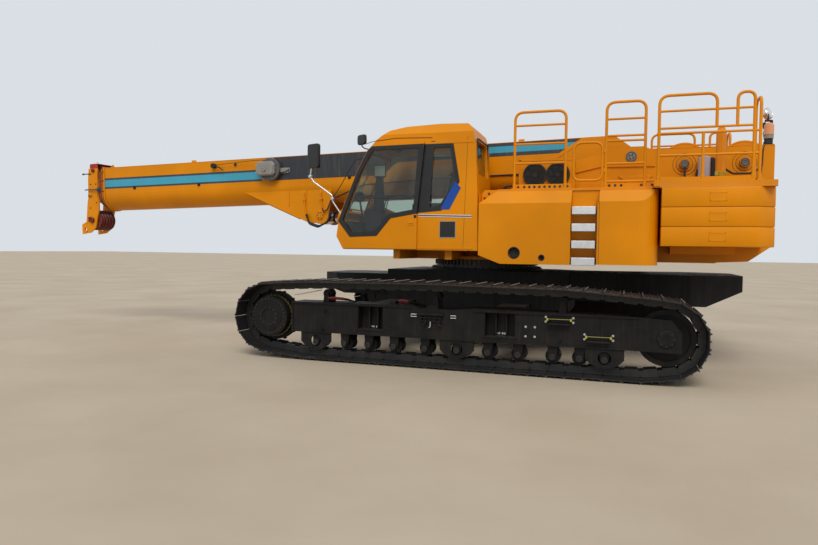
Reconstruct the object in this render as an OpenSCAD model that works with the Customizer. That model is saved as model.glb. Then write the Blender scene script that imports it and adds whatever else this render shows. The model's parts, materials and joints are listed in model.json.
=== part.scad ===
// Crawler crane with a telescopic boom, millimetres, +X towards the boom head, +Y to the cab side, +Z up.
// Every module is written round the slew axis; place() then centres the whole machine on its footprint.

/* [Tracks] */
// Overall width over the shoes
track_overall = 4900; // [4500:50:5200]
// Width of a track shoe
shoe_w = 700; // [600:20:800]
// Wanted chain pitch, rounded so that whole shoes fit the loop
shoe_pitch = 215.9; // [200:0.1:230]
// Thickness of a shoe plate
shoe_t = 12; // [8:1:20]
// Height of a grouser above its shoe plate
grouser_h = 26; // [15:1:40]
// Depth of the chain links inside the shoe plates
link_depth = 100; // [80:5:120]
// Width of the chain
chain_w = 210; // [160:10:260]
// Distance of the drive sprocket in front of the slew axis
sprocket_x = 2590; // [2500:10:2700]
// Height of the drive sprocket's centre
sprocket_z = 558; // [540:2:580]
// Radius of the shoe plates' inner face round the sprocket
sprocket_path_r = 456; // [430:2:470]
// Distance of the idler behind the slew axis
idler_x = 2600; // [2500:10:2700]
// Height of the idler's centre
idler_z = 520; // [500:2:540]
// Radius of the shoe plates' inner face round the idler
idler_path_r = 446; // [420:2:460]
// Teeth on the drive sprocket
sprocket_teeth = 13; // [11:1:15]
// Radius of the final drive's drum
hub_r = 278; // [220:2:290]

/* [Track frames] */
// Width of a track frame's box
frame_w = 360; // [320:10:420]
// Height of the frame's lower edge
frame_z0 = 365; // [350:5:385]
// Height of the frame's upper edge
frame_z1 = 775; // [740:5:800]
// Length of the frame in front of the slew axis
frame_front = 2250; // [2200:10:2280]
// Length of the frame behind the slew axis
frame_rear = 2770; // [2700:10:2800]
// Radius of a lower roller
roller_r = 92; // [80:2:98]
// Radius of an upper roller
carrier_r = 62; // [50:2:70]

/* [Car body] */
// Height of the car body's top face
body_top = 1215; // [1180:5:1230]
// Half width of the centre box
body_half = 900; // [800:10:950]
// Width of a cross beam along the machine
beam_w = 380; // [300:10:420]
// Slew ring outer radius
ring_r = 820; // [760:10:880]
// Slew ring height
ring_h = 130; // [100:5:150]

/* [Upper frame] */
// Distance of the boom foot pin behind the slew axis
foot_back = 2170; // [2100:10:2240]
// Height of the boom foot pin
foot_z = 2873; // [2800:5:2950]
// Radius of the boom foot pin
foot_pin_r = 70; // [50:5:80]
// Half of the space between the two side plates
plate_in = 460; // [440:5:480]
// Thickness of a side plate
plate_t = 40; // [25:5:50]
// Rear end of the upper frame behind the slew axis
tail_back = 3980; // [3900:10:4050]
// Height of the deck's top face
deck_z = 2380; // [2340:5:2420]
// Half of the upper works' width
upper_half = 1500; // [1450:10:1550]

/* [Boom] */
// Angle of the boom below level as it is parked
boom_rest = 1.3; // [0:0.1:2]
// Length of the base section in front of the foot pin
base_len = 9620; // [9000:20:10000]
// Width of the base section
boom_w = 600; // [560:10:620]
// Height of the base section
boom_h = 800; // [760:10:840]
// Height of the base section's top above the foot pin
boom_up = 348; // [320:2:380]
// Wall of a boom section
boom_wall = 9; // [7:1:12]
// Space between one section and the next
boom_gap = 16; // [12:1:20]
// Length of a section's front collar that shows
collar = 45; // [30:1:60]
// Running clearance at wear pads, bores and drums
fit = 0.5; // [0.3:0.1:1]
// Radius of a hoist sheave in the boom head
sheave_r = 190; // [160:5:220]
// Hoist sheaves side by side
sheaves = 5; // [4:1:6]

/* [Boom lift cylinder] */
// Distance of the cylinder's lower pin behind the slew axis
ram_back = 1000; // [900:10:1100]
// Height of the cylinder's lower pin
ram_z = 1600; // [1580:5:1650]
// Distance of the upper pin from the foot pin along the boom
ram_eye_x = 5008; // [4900:10:5100]
// Depth of the upper pin below the foot pin
ram_eye_z = 680; // [650:5:700]
// Outer radius of the barrel
barrel_r = 140; // [120:5:150]
// Radius of the rod
rod_r = 85; // [70:5:95]

/* [Cab] */
// Width of the cab
cab_w = 950; // [900:10:960]
// Thickness of the cab's walls
cab_wall = 45; // [35:1:60]
// Space between the sliding door and the cab's side
door_gap = 6; // [5:1:10]
// Thickness of the sliding door
door_t = 34; // [28:1:40]

/* [Counterweight and housings] */
// Lower face of the counterweight
weight_z0 = 1600; // [1560:5:1620]
// Height of one counterweight slab
slab_h = 243; // [230:1:245]
// Front face of the counterweight behind the slew axis
weight_front = 2545; // [2500:5:2600]
// Rear face of the counterweight's flank behind the slew axis
weight_back = 3655; // [3600:5:3700]
// Lower face of the side housings
box_z0 = 1338; // [1320:2:1360]
// Height where the side housings start to slope in
box_z1 = 2160; // [2100:5:2200]
// Radius of the handrail tube
rail_r = 19; // [15:1:24]

/* [Hidden] */
$fn = 48;

yellow = "#f0a818";
black = "#26282b";
seat_gap = 0.3;
pin_fit = 0.08;

// Machine extents along X: the toe of the boom head and the rear of the upper frame
head_len = base_len + 4 * collar + 430;
toe_drop = 719;
nose_x = -foot_back + (head_len) * cos(boom_rest) - toe_drop * sin(boom_rest);
mid_x = (nose_x - tail_back) / 2;

module place() { translate([-mid_x, 0, 0]) children(); }
module mirror_side(side) { mirror([0, side < 0 ? 1 : 0, 0]) children(); }

// A profile drawn in the X-Z plane, extruded between two Y planes
module wall_xz(points, y0, y1) {
    translate([0, y1, 0]) rotate([90, 0, 0]) linear_extrude(y1 - y0) polygon(points);
}

// A block between two corners
module block(low, high) { translate(low) cube(high - low); }

// A round bar along Y between two Y planes
module bar_y(x, z, r, y0, y1) { translate([x, y1, z]) rotate([90, 0, 0]) cylinder(r = r, h = y1 - y0); }

// A round bar between two points
module tube_between(a, b, r) {
    d = b - a;
    translate(a) rotate([0, acos(d[2] / norm(d)), atan2(d[1], d[0])]) cylinder(r = r, h = norm(d), $fn = 16);
}

// A bent tube through a list of points, with a ball at each bend
module tube_path(points, r) {
    for (i = [0:len(points) - 2]) tube_between(points[i], points[i + 1], r);
    if (len(points) > 2)
        for (i = [1:len(points) - 2]) translate(points[i]) sphere(r = r + 0.8, $fn = 16);
}

// Points on an arc, for a rounded corner of a profile
function arc(cx, cy, r, a0, a1, n = 6) = [for (i = [0:n]) let (a = a0 + (a1 - a0) * i / n)
    [cx + r * cos(a), cy + r * sin(a)]];

// Track loop: wheels that the inner face of the shoe plates runs round, counter-clockwise.
// Columns: x, z of the centre, radius
plate_out = shoe_t + grouser_h;
bend_r = 300;
loop_wheels = [
    [-2300, plate_out + bend_r, bend_r],
    [2000, plate_out + bend_r, bend_r],
    [sprocket_x, sprocket_z, sprocket_path_r],
    [1900, 1092 - plate_out - bend_r, bend_r],
    [200, 1110 - plate_out - bend_r, bend_r],
    [-1500, 1092 - plate_out - bend_r, bend_r],
    [-idler_x, idler_z, idler_path_r]];
wheels = len(loop_wheels);
function wheel(i) = loop_wheels[(i + wheels) % wheels];
function outward(a, b) = let (d = [b[0] - a[0], b[1] - a[1]])
    atan2(d[1], d[0]) - acos((a[2] - b[2]) / norm(d));
leg_normal = [for (i = [0:wheels - 1]) outward(wheel(i), wheel(i + 1))];
function wrap(a) = a - 360 * floor(a / 360);
arc_len = [for (i = [0:wheels - 1])
    wheel(i)[2] * wrap(leg_normal[i] - leg_normal[(i + wheels - 1) % wheels]) * PI / 180];
line_len = [for (i = [0:wheels - 1]) let (a = wheel(i), b = wheel(i + 1))
    sqrt(pow(norm([b[0] - a[0], b[1] - a[1]]), 2) - pow(a[2] - b[2], 2))];
function total(v, n) = n <= 0 ? 0 : v[n - 1] + total(v, n - 1);
loop_len = total(arc_len, wheels) + total(line_len, wheels);
shoe_count = round(loop_len / shoe_pitch);
pitch = loop_len / shoe_count;
// Position on the loop at a distance from its start: x, z and the outward direction
function spot(s, i = 0) = let (w = wheel(i), rest = s - arc_len[i])
    i < wheels - 1 && rest > line_len[i] ? spot(rest - line_len[i], i + 1) :
    rest < 0 ? let (a = leg_normal[(i + wheels - 1) % wheels] + s / w[2] * 180 / PI)
        [w[0] + w[2] * cos(a), w[1] + w[2] * sin(a), a] :
    let (a = leg_normal[i]) [w[0] + w[2] * cos(a) - rest * sin(a), w[1] + w[2] * sin(a) + rest * cos(a), a];
joints = [for (k = [0:shoe_count - 1]) spot(k * pitch)];
function joint(k) = joints[(k + shoe_count) % shoe_count];
// A point of shoe k: u along it from 0 to 1, v outwards from the inner face of its plate
function on_shoe(k, u, v) =
    let (a = joint(k), b = joint(k + 1), d = [b[0] - a[0], b[1] - a[1]], t = d / norm(d))
    [a[0] + u * (b[0] - a[0]) + v * t[1], a[1] + u * (b[1] - a[1]) - v * t[0]];
// Shoe outline: u along the shoe, v in plate and grouser heights
shoe_profile = [[0.015, 0], [0.06, 1], [0.13, 0], [0.42, 0], [0.47, 0.8], [0.52, 0], [0.84, 0], [0.9, 0.8]];
outer_loop = [for (k = [0:shoe_count - 1]) for (p = shoe_profile)
    on_shoe(k, p[0], shoe_t + p[1] * grouser_h)];
inner_loop = [for (k = [0:shoe_count - 1]) on_shoe(k, 0, 0)];
band_loop = [for (k = [0:shoe_count - 1]) for (p = [[0, -0.78], [0.5, -1]])
    on_shoe(k, p[0], p[1] * link_depth)];
track_y = (track_overall - shoe_w) / 2;

module track() {
    color(black) {
        translate([0, shoe_w / 2, 0]) rotate([90, 0, 0]) linear_extrude(shoe_w)
            difference() { polygon(outer_loop); polygon(inner_loop); }
        translate([0, chain_w / 2, 0]) rotate([90, 0, 0]) linear_extrude(chain_w)
            difference() {
                polygon([for (k = [0:shoe_count - 1]) on_shoe(k, 0, shoe_t / 3)]);
                polygon(band_loop);
            }
    }
}

// Inner radius of the chain where it lies round a wheel
function chain_in(r) = r * cos(pitch / r * 90 / PI) - link_depth;
sprocket_start = total(arc_len, 2) + total(line_len, 2);
mid_joint = ceil((sprocket_start + arc_len[2] / 2) / pitch);
tooth_phase = spot(mid_joint * pitch)[2];

// Drive sprocket, final drive and its drum; y runs outwards from the track's centre line
drum_out = 215;
module sprocket() {
    root_r = chain_in(sprocket_path_r) - seat_gap;
    tooth_tip = sprocket_path_r - 0.78 * link_depth - 14;
    color(black) {
        bar_y(sprocket_x, sprocket_z, root_r, -38, 38);
        for (i = [0:sprocket_teeth - 1])
            translate([sprocket_x, 30, sprocket_z]) rotate([90, 0, 0])
                rotate(tooth_phase + i * 360 / sprocket_teeth) linear_extrude(60) polygon([[root_r - 20, -28], [tooth_tip, -6], [tooth_tip, 6], [root_r - 20, 28]]);
        bar_y(sprocket_x, sprocket_z, hub_r + 22, 38, 70);
        bar_y(sprocket_x, sprocket_z, hub_r, 70, drum_out);
        bar_y(sprocket_x, sprocket_z, hub_r - 90, drum_out, drum_out + 14);
        bar_y(sprocket_x, sprocket_z, 210, -frame_w / 2 + frame_plate, -38);
    }
}

// Idler wheel with its guide flange
module idler() {
    tread_r = chain_in(idler_path_r) - seat_gap;
    color(black) difference() {
        union() {
            bar_y(-idler_x, idler_z, tread_r, -85, 85);
            bar_y(-idler_x, idler_z, 110, -frame_w / 2 + frame_plate, frame_w / 2 - frame_plate);
        }
        for (s = [-1, 1]) difference() {
            bar_y(-idler_x, idler_z, tread_r - 60, s * 85 - 40, s * 85 + 40);
            bar_y(-idler_x, idler_z, 135, s * 85 - 41, s * 85 + 41);
        }
    }
}

// Lower rollers. Columns: x of the axle, 1 where a curved guard hides the roller
roller_table = [[1880, 1], [1460, 0], [1110, 0], [750, 0], [320, 0], [-110, 1], [-510, 0],
    [-890, 0], [-1310, 0], [-1630, 0], [-1920, 1]];
// Upper rollers, x of the axle
carrier_x = [1760, 200, -1420];
roller_z = plate_out + link_depth + seat_gap + roller_r;
frame_plate = 22;
roller_arm = 34;
module rollers() {
    color(black) {
        for (row = roller_table) {
            bar_y(row[0], roller_z, roller_r, -80, 80);
            bar_y(row[0], roller_z, 42, -frame_w / 2, frame_w / 2);
            for (s = [-1, 1]) {
                y0 = s > 0 ? frame_w / 2 - roller_arm - 30 : -frame_w / 2 + 30;
                wall_xz([[row[0] - 62, frame_z0], [row[0] - 48, roller_z - 40], [row[0] + 48, roller_z - 40],
                    [row[0] + 62, frame_z0]], y0, y0 + roller_arm);
            }
            if (row[1] == 1) difference() {
                wall_xz(concat(arc(row[0], 415, 285, 218, 322, 8),
                    [[row[0] + 225, frame_z0], [row[0] - 225, frame_z0]]), frame_w / 2 - 26, frame_w / 2);
                bar_y(row[0], roller_z + 22, 78, frame_w / 2 - 27, frame_w / 2 + 1);
            }
        }
        for (x = carrier_x) {
            top = spot_top(x) - link_depth - seat_gap;
            bar_y(x, top - carrier_r, carrier_r, -75, 75);
            bar_y(x, top - carrier_r, 26, -110, 110);
            for (y = [-110, 80]) wall_xz([[x - 45, frame_top(x - 45)], [x + 45, frame_top(x + 45)],
                [x + 30, top - carrier_r + 20], [x - 30, top - carrier_r + 20]], y, y + 30);
        }
    }
}
// Height of the shoe plates' inner face above a point of the upper run
function spot_top(x) = x > 200 ? 1110 - plate_out - (x - 200) / 1700 * 18 : 1110 - plate_out - (200 - x) / 1700 * 18;

// Upper edge of the track frame, from rear to front; it dips round the middle bracket. Columns: x, z
dip = 28;
frame_crest = [[-2660, frame_z1 - 40], [-2290, frame_z1 - 14], [-300, frame_z1], [-30, frame_z1 - dip],
    [380, frame_z1 - dip], [520, frame_z1 + 15], [frame_front, frame_z1]];
function frame_top(x) = lookup(x, frame_crest);

// One side's track frame with its windows, steps and drive carrier; y from the track's centre line.
// Windows: rear edge, front edge
frame_windows = [[900, 1255], [-852, -474]];
step_table = [[-1390, 690], [-1850, 500]];
module side_frame() {
    profile = concat([[frame_front, frame_z0], [-2160, frame_z0], [-frame_rear, frame_z0 - 8],
        [-frame_rear, frame_z1 - 180]], frame_crest);
    color(black) {
        difference() {
            wall_xz(profile, -frame_w / 2, frame_w / 2);
            // Slot for the idler
            block([-frame_rear - 10, -frame_w / 2 + frame_plate, 0], [-2190, frame_w / 2 - frame_plate, 1000]);
            // Room for the sprocket's teeth between the two side plates
            bar_y(sprocket_x, sprocket_z, sprocket_path_r - 0.78 * link_depth + 8, -frame_w / 2 + frame_plate,
                frame_w / 2 - frame_plate);
            for (w = frame_windows)
                block([w[0], frame_w / 2 - 150, frame_z0 + 80], [w[1], frame_w / 2 + 1, frame_z1 - 25]);
        }
        // Flanges along the outer face
        block([-2150, frame_w / 2, frame_z0], [frame_front, frame_w / 2 + 18, frame_z0 + 16]);
        block([500, frame_w / 2, frame_z1 - 20], [frame_front, frame_w / 2 + 18, frame_z1 - 4]);
        block([-2290, frame_w / 2, frame_z1 - 34], [-320, frame_w / 2 + 18, frame_z1 - 18]);
        // Inner plate that carries the final drive
        difference() {
            union() {
                block([frame_front, -frame_w / 2, frame_z0 + 20],
                    [sprocket_x, -frame_w / 2 + frame_plate, frame_z1 - 20]);
                bar_y(sprocket_x, sprocket_z, 240, -frame_w / 2, -frame_w / 2 + frame_plate);
            }
            bar_y(sprocket_x, sprocket_z, 90, -frame_w / 2 - 1, -frame_w / 2 + frame_plate + 1);
        }
    }
    // Steps: a tread plate with a grab rung above it
    for (p = step_table) {
        color(black) block([p[0] - 130, frame_w / 2, p[1] - 60], [p[0] + 130, frame_w / 2 + 70, p[1] - 48]);
        color(yellow) for (s = [-1, 1])
            block([p[0] + s * 140 - 10, frame_w / 2, p[1] - 12], [p[0] + s * 140 + 10, frame_w / 2 + 60, p[1] + 12]);
        color(yellow) translate([p[0] - 150, frame_w / 2 + 48, p[1]]) rotate([0, 90, 0]) cylinder(r = 10, h = 300);
    }
}

module on_track(side) { place() mirror_side(side) translate([0, track_y, 0]) children(); }

// Car body: centre box, cross beams and the two end blocks that lie between the tracks
beam_x = [1075, -660];
body_bottom = 620;
module carbody() {
    inner = track_y - frame_w / 2;
    color(black) place() {
        // Centre box with tapered ends, seen from above
        translate([0, 0, body_bottom]) linear_extrude(body_top - body_bottom)
            polygon([[1350, -body_half], [1350, body_half], [-1000, body_half], [-1350, 600], [-1350, -600],
                [-1000, -body_half]]);
        translate([0, 0, body_top]) cylinder(r = ring_r + 60, h = 35);
        for (x = beam_x) block([x - beam_w / 2, -inner, 420], [x + beam_w / 2, inner, 760]);
        // Front nose and rear block; the undersides rise towards their ends
        difference() {
            translate([0, 0, 800]) linear_extrude(330)
                polygon([[1300, -620], [1300, 620], [2350, 620], [2620, 420], [2620, -420], [2350, -620]]);
            wall_xz([[2200, 799], [2700, 799], [2700, 960]], -900, 900);
        }
        difference() {
            translate([0, 0, 800]) linear_extrude(body_top - 800)
                polygon([[-1300, -560], [-1300, 560], [-2000, 560], [-2960, 900], [-3150, 880], [-3630, 590],
                    [-3630, -590], [-3150, -880], [-2960, -900], [-2000, -560]]);
            wall_xz([[-3150, 799], [-3700, 799], [-3700, 1030]], -1000, 1000);
        }
    }
}

// Slew ring: outer race with its gear teeth, bolted on the car body
ring_z0 = body_top + 35;
ring_teeth = 72;
module slew_ring() {
    color("#3a3d40") place() translate([0, 0, ring_z0]) difference() {
        union() {
            cylinder(r = ring_r - 40, h = ring_h, $fn = 96);
            cylinder(r = ring_r - 8, h = 30, $fn = 96);
            for (i = [0:ring_teeth - 1]) rotate(i * 360 / ring_teeth)
                translate([ring_r - 60, -12, 45]) cube([55, 24, 75]);
        }
        translate([0, 0, -1]) cylinder(r = ring_r - 190, h = ring_h + 2, $fn = 96);
    }
}

// Upper frame: turning plate, the two long side plates and their cross members
table_z0 = ring_z0 + ring_h + seat_gap;
table_t = 45;
foot_x = -foot_back;
drum_x = [-2870, -3620];
drum_z = 2745;
drum_names = ["main_drum", "auxiliary_drum"];
// Arms under the side housings: rear edges, width, height, outer end
arm_x = [-2400, -400];
arm_w = 100;
arm_h = 90;
arm_end = upper_half - 320;
// Notches in a housing on the left, that its arms pass through
module arm_room() {
    for (x = arm_x) block([x - 5, 500, 1300], [x + arm_w + 5, arm_end + 5, table_z0 + arm_h + seat_gap]);
    // Room round the slew ring and the turning plate
    translate([0, 0, 1300]) cylinder(r = ring_r + 30, h = table_z0 + table_t + 8 - 1300);
}
module side_plate_profile() {
    polygon([[1150, table_z0 + 10], [1150, 1640], [800, 1720], [-500, 1860], [-1150, 2300], [-1380, 2640],
        [-1400, 2845], [foot_x + 380, 2936], [foot_x + 210, foot_z + 137], [foot_x - 170, foot_z + 137],
        [foot_x - 250, plate_top], [-tail_back, plate_top], [-tail_back, 1620],
        [-tail_back + 280, table_z0 + 30], [-tail_back + 680, table_z0 + 10]]);
}
// Doubler round the foot pin, on the outer face of each side plate
plate_top = 2975;
doubler_t = 18;
module doubler_profile() {
    polygon([[-1400, 2660], [-1400, 2845], [foot_x + 380, 2936], [foot_x + 210, foot_z + 137],
        [foot_x - 170, foot_z + 137], [foot_x - 250, plate_top], [foot_x - 320, plate_top],
        [foot_x - 320, foot_z - 143], [foot_x + 330, foot_z - 138], [foot_x + 400, foot_z - 130]]);
}
module turntable() {
    color(yellow) place() {
        translate([0, 0, table_z0]) linear_extrude(table_t) union() {
            circle(r = ring_r + 20);
            translate([-3300, -plate_in - plate_t]) square([4450, 2 * (plate_in + plate_t)]);
        }
        for (s = [-1, 1]) difference() {
            union() {
                translate([0, s > 0 ? plate_in + plate_t : -plate_in, 0]) rotate([90, 0, 0])
                    linear_extrude(plate_t) side_plate_profile();
                translate([0, s > 0 ? plate_in + plate_t + doubler_t : -plate_in - plate_t + 1, 0])
                    rotate([90, 0, 0]) linear_extrude(doubler_t + 1) doubler_profile();
            }
            bar_y(foot_x, foot_z, foot_pin_r + pin_fit, -upper_half, upper_half);
            for (x = drum_x) bar_y(x, drum_z, 60 + pin_fit, -plate_in - plate_t - 1, plate_in + plate_t + 1);
            bar_y(-ram_back, ram_z, 60 + pin_fit, -plate_in - plate_t - 1, plate_in + plate_t + 1);
        }
        // Rear cross plate, floor of the winch bay and front cross member
        block([-tail_back, -plate_in, 1640], [-tail_back + 30, plate_in, plate_top]);
        block([-tail_back + 30, -plate_in, 2330], [-2480, plate_in, 2360]);
        block([-2500, -plate_in, table_z0 + table_t], [-2460, plate_in, 2360]);
        block([1100, -plate_in, table_z0 + table_t], [1150, plate_in, 1640]);
        // Ledges under the counterweight, arms under the housings and the cab
        for (s = [-1, 1]) mirror_side(s) {
            block([-3500, plate_in + plate_t, 1500], [-2700, plate_in + plate_t + 260, weight_z0 - seat_gap]);
            for (x = arm_x) block([x, plate_in + plate_t, table_z0], [x + arm_w, arm_end, table_z0 + arm_h]);
        }
        for (x = [220, 1000])
            block([x, plate_in + plate_t, table_z0], [x + arm_w, upper_half - 150, cab_floor - seat_gap]);
    }
}

// Cab: side outline from the front foot up the windscreen, over the roof and down the rear wall
cab_y1 = upper_half - door_t - door_gap;
cab_y0 = upper_half - cab_w;
cab_floor = 1511;
// Front edge of the cab from its foot to the roof. Columns: z, x
cab_front = [[cab_floor, 1850], [1700, 1960], [1972, 1920], [2272, 1796], [2641, 1643], [2949, 1476],
    [3100, 1340]];
function front_x(z) = lookup(z, cab_front);
cab_outline = concat([[-180, cab_floor]], [for (p = cab_front) [p[1], p[0]]],
    [[1144, 3232], [900, 3282], [400, 3305], [0, 3292], [-85, 3210], [-130, 3000], [-165, 2300]]);
// Chamfer along each side of the roof, seen from behind: y, z, for a side's outer face at y = 0
roof_chamfer = [[1, 3165], [1, 3400], [-100, 3400], [-100, 3310]];
// A strip of the front between two heights, between two depths behind its face
function front_strip(z0, z1, d0, d1) =
    let (zs = concat([z0], [for (p = cab_front) if (p[0] > z0 && p[0] < z1) p[0]], [z1]))
    concat([for (z = zs) [front_x(z) - d0, z]], [for (i = [len(zs) - 1:-1:0]) [front_x(zs[i]) - d1, zs[i]]]);
windscreen_z = [2052, 2945];
lower_glass_z = [1640, 1955];
cab_inside = [[-90, cab_floor + 60], [1790, cab_floor + 60], [1890, 1720], [1855, 1955], [1735, 2250],
    [1582, 2612], [1420, 2915], [1300, 3040], [1120, 3150], [890, 3195], [400, 3212], [60, 3196],
    [10, 3150], [-35, 2990], [-70, 2300]];
door_outline = [[700, cab_floor + 12], [1848, cab_floor + 12], [1948, 1700], [1908, 1972], [1784, 2272],
    [1631, 2641], [1464, 2949], [1400, 3010], [1330, 3040], [600, 3040], [700, 2060]];
door_window = [[716, 2062], [1117, 1995], [1326, 1742], [1719, 1727], [1890, 1928], [1760, 2272],
    [1606, 2641], [1440, 2925], [1385, 2975], [640, 2985]];
rear_window = [[371, 2101], [640, 2070], [560, 2985], [216, 2979], [121, 2474]];
// Heights of the sliding door's rails
door_rail_z = [1541, 3022];
function inset(points, d, c) = [for (p = points) c + (p - c) * (1 - d / norm(p - c))];
function mean(points) = [for (j = [0, 1]) [for (p = points) p[j]] * [for (p = points) 1] / len(points)];

module cab_shell() {
    // Rails of the sliding door
    color(yellow) place() for (z = door_rail_z)
        block([-110, cab_y1, z - 12], [1370, cab_y1 + door_gap - fit, z + 12]);
    color(yellow) place() difference() {
        wall_xz(cab_outline, cab_y0, cab_y1);
        wall_xz(cab_inside, cab_y0 + cab_wall, cab_y1 - cab_wall);
        // Door opening, rear side window, right side window
        wall_xz(inset(door_outline, 30, mean(door_outline)), cab_y1 - cab_wall - 1, cab_y1 + 1);
        wall_xz(rear_window, cab_y1 - cab_wall - 1, cab_y1 + 1);
        wall_xz(concat([for (p = door_window) if (p[1] > 1980) p], [[216, 2979], [160, 2400], [400, 2080]]),
            cab_y0 - 1, cab_y0 + cab_wall + 1);
        // Windscreen, lower front glass and the window in the rear wall
        for (z = [windscreen_z, lower_glass_z])
            wall_xz(front_strip(z[0], z[1], -40, 120), cab_y0 + 70, cab_y1 - 70);
        block([-190, cab_y0 + 140, 2580], [0, cab_y1 - 110, 3060]);
        // Roof hatch, and the chamfers along the roof
        block([200, cab_y0 + 220, 3180], [900, cab_y1 - 220, 3320]);
        for (s = [0, 1]) translate([-300, s ? cab_y1 : cab_y0, 0]) mirror([0, 1 - s, 0])
            rotate([90, 0, 90]) linear_extrude(1800) polygon(roof_chamfer);
    }
}

glass_t = 6;
module cab_glass() {
    color([0.1, 0.14, 0.15, 0.5]) place() {
        wall_xz(rear_window, cab_y1 - cab_wall / 2 - glass_t, cab_y1 - cab_wall / 2);
        for (z = [windscreen_z, lower_glass_z])
            wall_xz(front_strip(z[0], z[1], 12, 12 + glass_t), cab_y0 + 70, cab_y1 - 70);
        wall_xz([[-108, 2580], [-100, 2580], [-75, 3060], [-83, 3060]], cab_y0 + 140, cab_y1 - 110);
        block([200, cab_y0 + 220, 3226], [900, cab_y1 - 220, 3234]);
        wall_xz(concat([for (p = door_window) if (p[1] > 1980) p], [[216, 2979], [160, 2400], [400, 2080]]),
            cab_y0 + cab_wall / 2, cab_y0 + cab_wall / 2 + glass_t);
    }
}

module cab_door() {
    color(yellow) place() difference() {
        wall_xz(door_outline, cab_y1 + door_gap, upper_half);
        wall_xz(door_window, cab_y1 + door_gap - 1, upper_half + 1);
    }
}

module door_glass() {
    color([0.1, 0.14, 0.15, 0.5]) place()
        wall_xz(door_window, cab_y1 + door_gap + 10, cab_y1 + door_gap + 10 + glass_t);
}

module cab_seat() {
    y = (cab_y0 + cab_y1) / 2;
    color("#1c1d20") place() {
        block([300, y - 200, cab_floor + 60], [700, y + 200, cab_floor + 320]);
        wall_xz([[250, cab_floor + 320], [820, cab_floor + 320], [840, cab_floor + 430], [400, cab_floor + 450],
            [260, 2650], [120, 2640]], y - 240, y + 240);
        // Front console
        wall_xz([[1300, cab_floor + 60], [1560, cab_floor + 60], [1640, 2100], [1500, 2130]], y - 180, y + 180);
    }
}

// Left housing behind the cab, with its chamfered foot and sloped top
box_in = 620;
box_top = deck_z - 40;
slope_in = 200;
tank_x0 = -1790;
module left_housing() {
    color(yellow) place() difference() {
        intersection() {
            wall_xz([[-195, 1452], [-195, box_z1], [-400, box_top], [-1430, box_top], [-1430, box_z0], [-499, box_z0]],
                box_in, upper_half);
            translate([-1440, 0, 0]) rotate([90, 0, 90]) linear_extrude(1400)
                polygon([[box_in, 1300], [upper_half, 1300], [upper_half, box_z1], [upper_half - slope_in, box_top],
                    [box_in, box_top]]);
        }
        bar_y(-690, 1490, 75, upper_half - 60, upper_half + 1);
        bar_y(-1060, 1430, 32, upper_half - 60, upper_half + 1);
        arm_room();
    }
    // Panel behind the ladder, a plate of its own on the tank's front face
    color(yellow) place()
        block([tank_x0, upper_half - 260, box_z0 + 12], [-1431, upper_half - 240, box_top]);
    // Edge strip beside the tank
    color(yellow) place()
        block([tank_x0, upper_half - 240, box_z0 + 12], [tank_x0 + 27, upper_half - 2, box_z1]);
}

// Fuel tank with a large rounded rear corner, seen from above
module fuel_tank() {
    r = 250;
    rear = -2270;
    outline = concat([[tank_x0, box_in], [tank_x0, upper_half]], arc(rear, upper_half - r, r, 90, 180, 8),
        [[rear - r, box_in]]);
    color(yellow) place() difference() {
        translate([0, 0, box_z0 + 12]) linear_extrude(box_top - box_z0 - 12) polygon(outline);
        translate([-2700, 0, 0]) rotate([90, 0, 90]) linear_extrude(1000)
            polygon([[upper_half + 1, box_z1 + 10], [upper_half + 1, box_top + 100],
                [upper_half - slope_in - 50, box_top + 100], [upper_half - slope_in, box_top + 1],
                [upper_half - slope_in + 100, box_top - 20]]);
        arm_room();
    }
}

tread_z = [1436, 1660, 1884, 2108];
module access_ladder() {
    color("silver") place() {
        for (z = tread_z) block([-1745, upper_half - 240, z - 101], [-1445, upper_half - 5, z]);
        for (x = [-1759, -1445]) block([x, upper_half - 240, 1273], [x + 14, upper_half - 200, 2200]);
    }
}

// Engine housing on the right with louvres, doors and the exhaust
module engine_housing() {
    x0 = -2450;
    x1 = -120;
    top = 2620;
    color(yellow) place() {
        difference() {
            translate([x0, 0, 0]) rotate([90, 0, 90]) linear_extrude(x1 - x0)
                polygon([[-box_in, box_z0], [-box_in, top], [-upper_half + 180, top], [-upper_half, top - 180],
                    [-upper_half, box_z0]]);
            translate([x0 + 40, 0, 0]) rotate([90, 0, 90]) linear_extrude(x1 - x0 - 80)
                polygon([[-box_in - 40, box_z0 + 40], [-box_in - 40, top - 40], [-upper_half + 195, top - 40],
                    [-upper_half + 40, top - 197], [-upper_half + 40, box_z0 + 40]]);
            for (i = [0:9])
                block([-2350, -upper_half - 1, 1500 + i * 80], [-1750, -upper_half + 41, 1540 + i * 80]);
            for (i = [0:4])
                block([-900, -upper_half - 1, 1900 + i * 80], [-500, -upper_half + 41, 1940 + i * 80]);
            for (i = [0:5]) block([-2200 + i * 90, -1200, top - 41], [-2160 + i * 90, -800, top + 1]);
            mirror_side(-1) arm_room();
        }
        translate([-900, -1000, top]) cylinder(r = 70, h = 260);
    }
}
module engine_block() {
    color("#55585c") place() block([-2000, -upper_half + 150, box_z0 + 40], [-900, -box_in - 130, 2350]);
}

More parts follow.
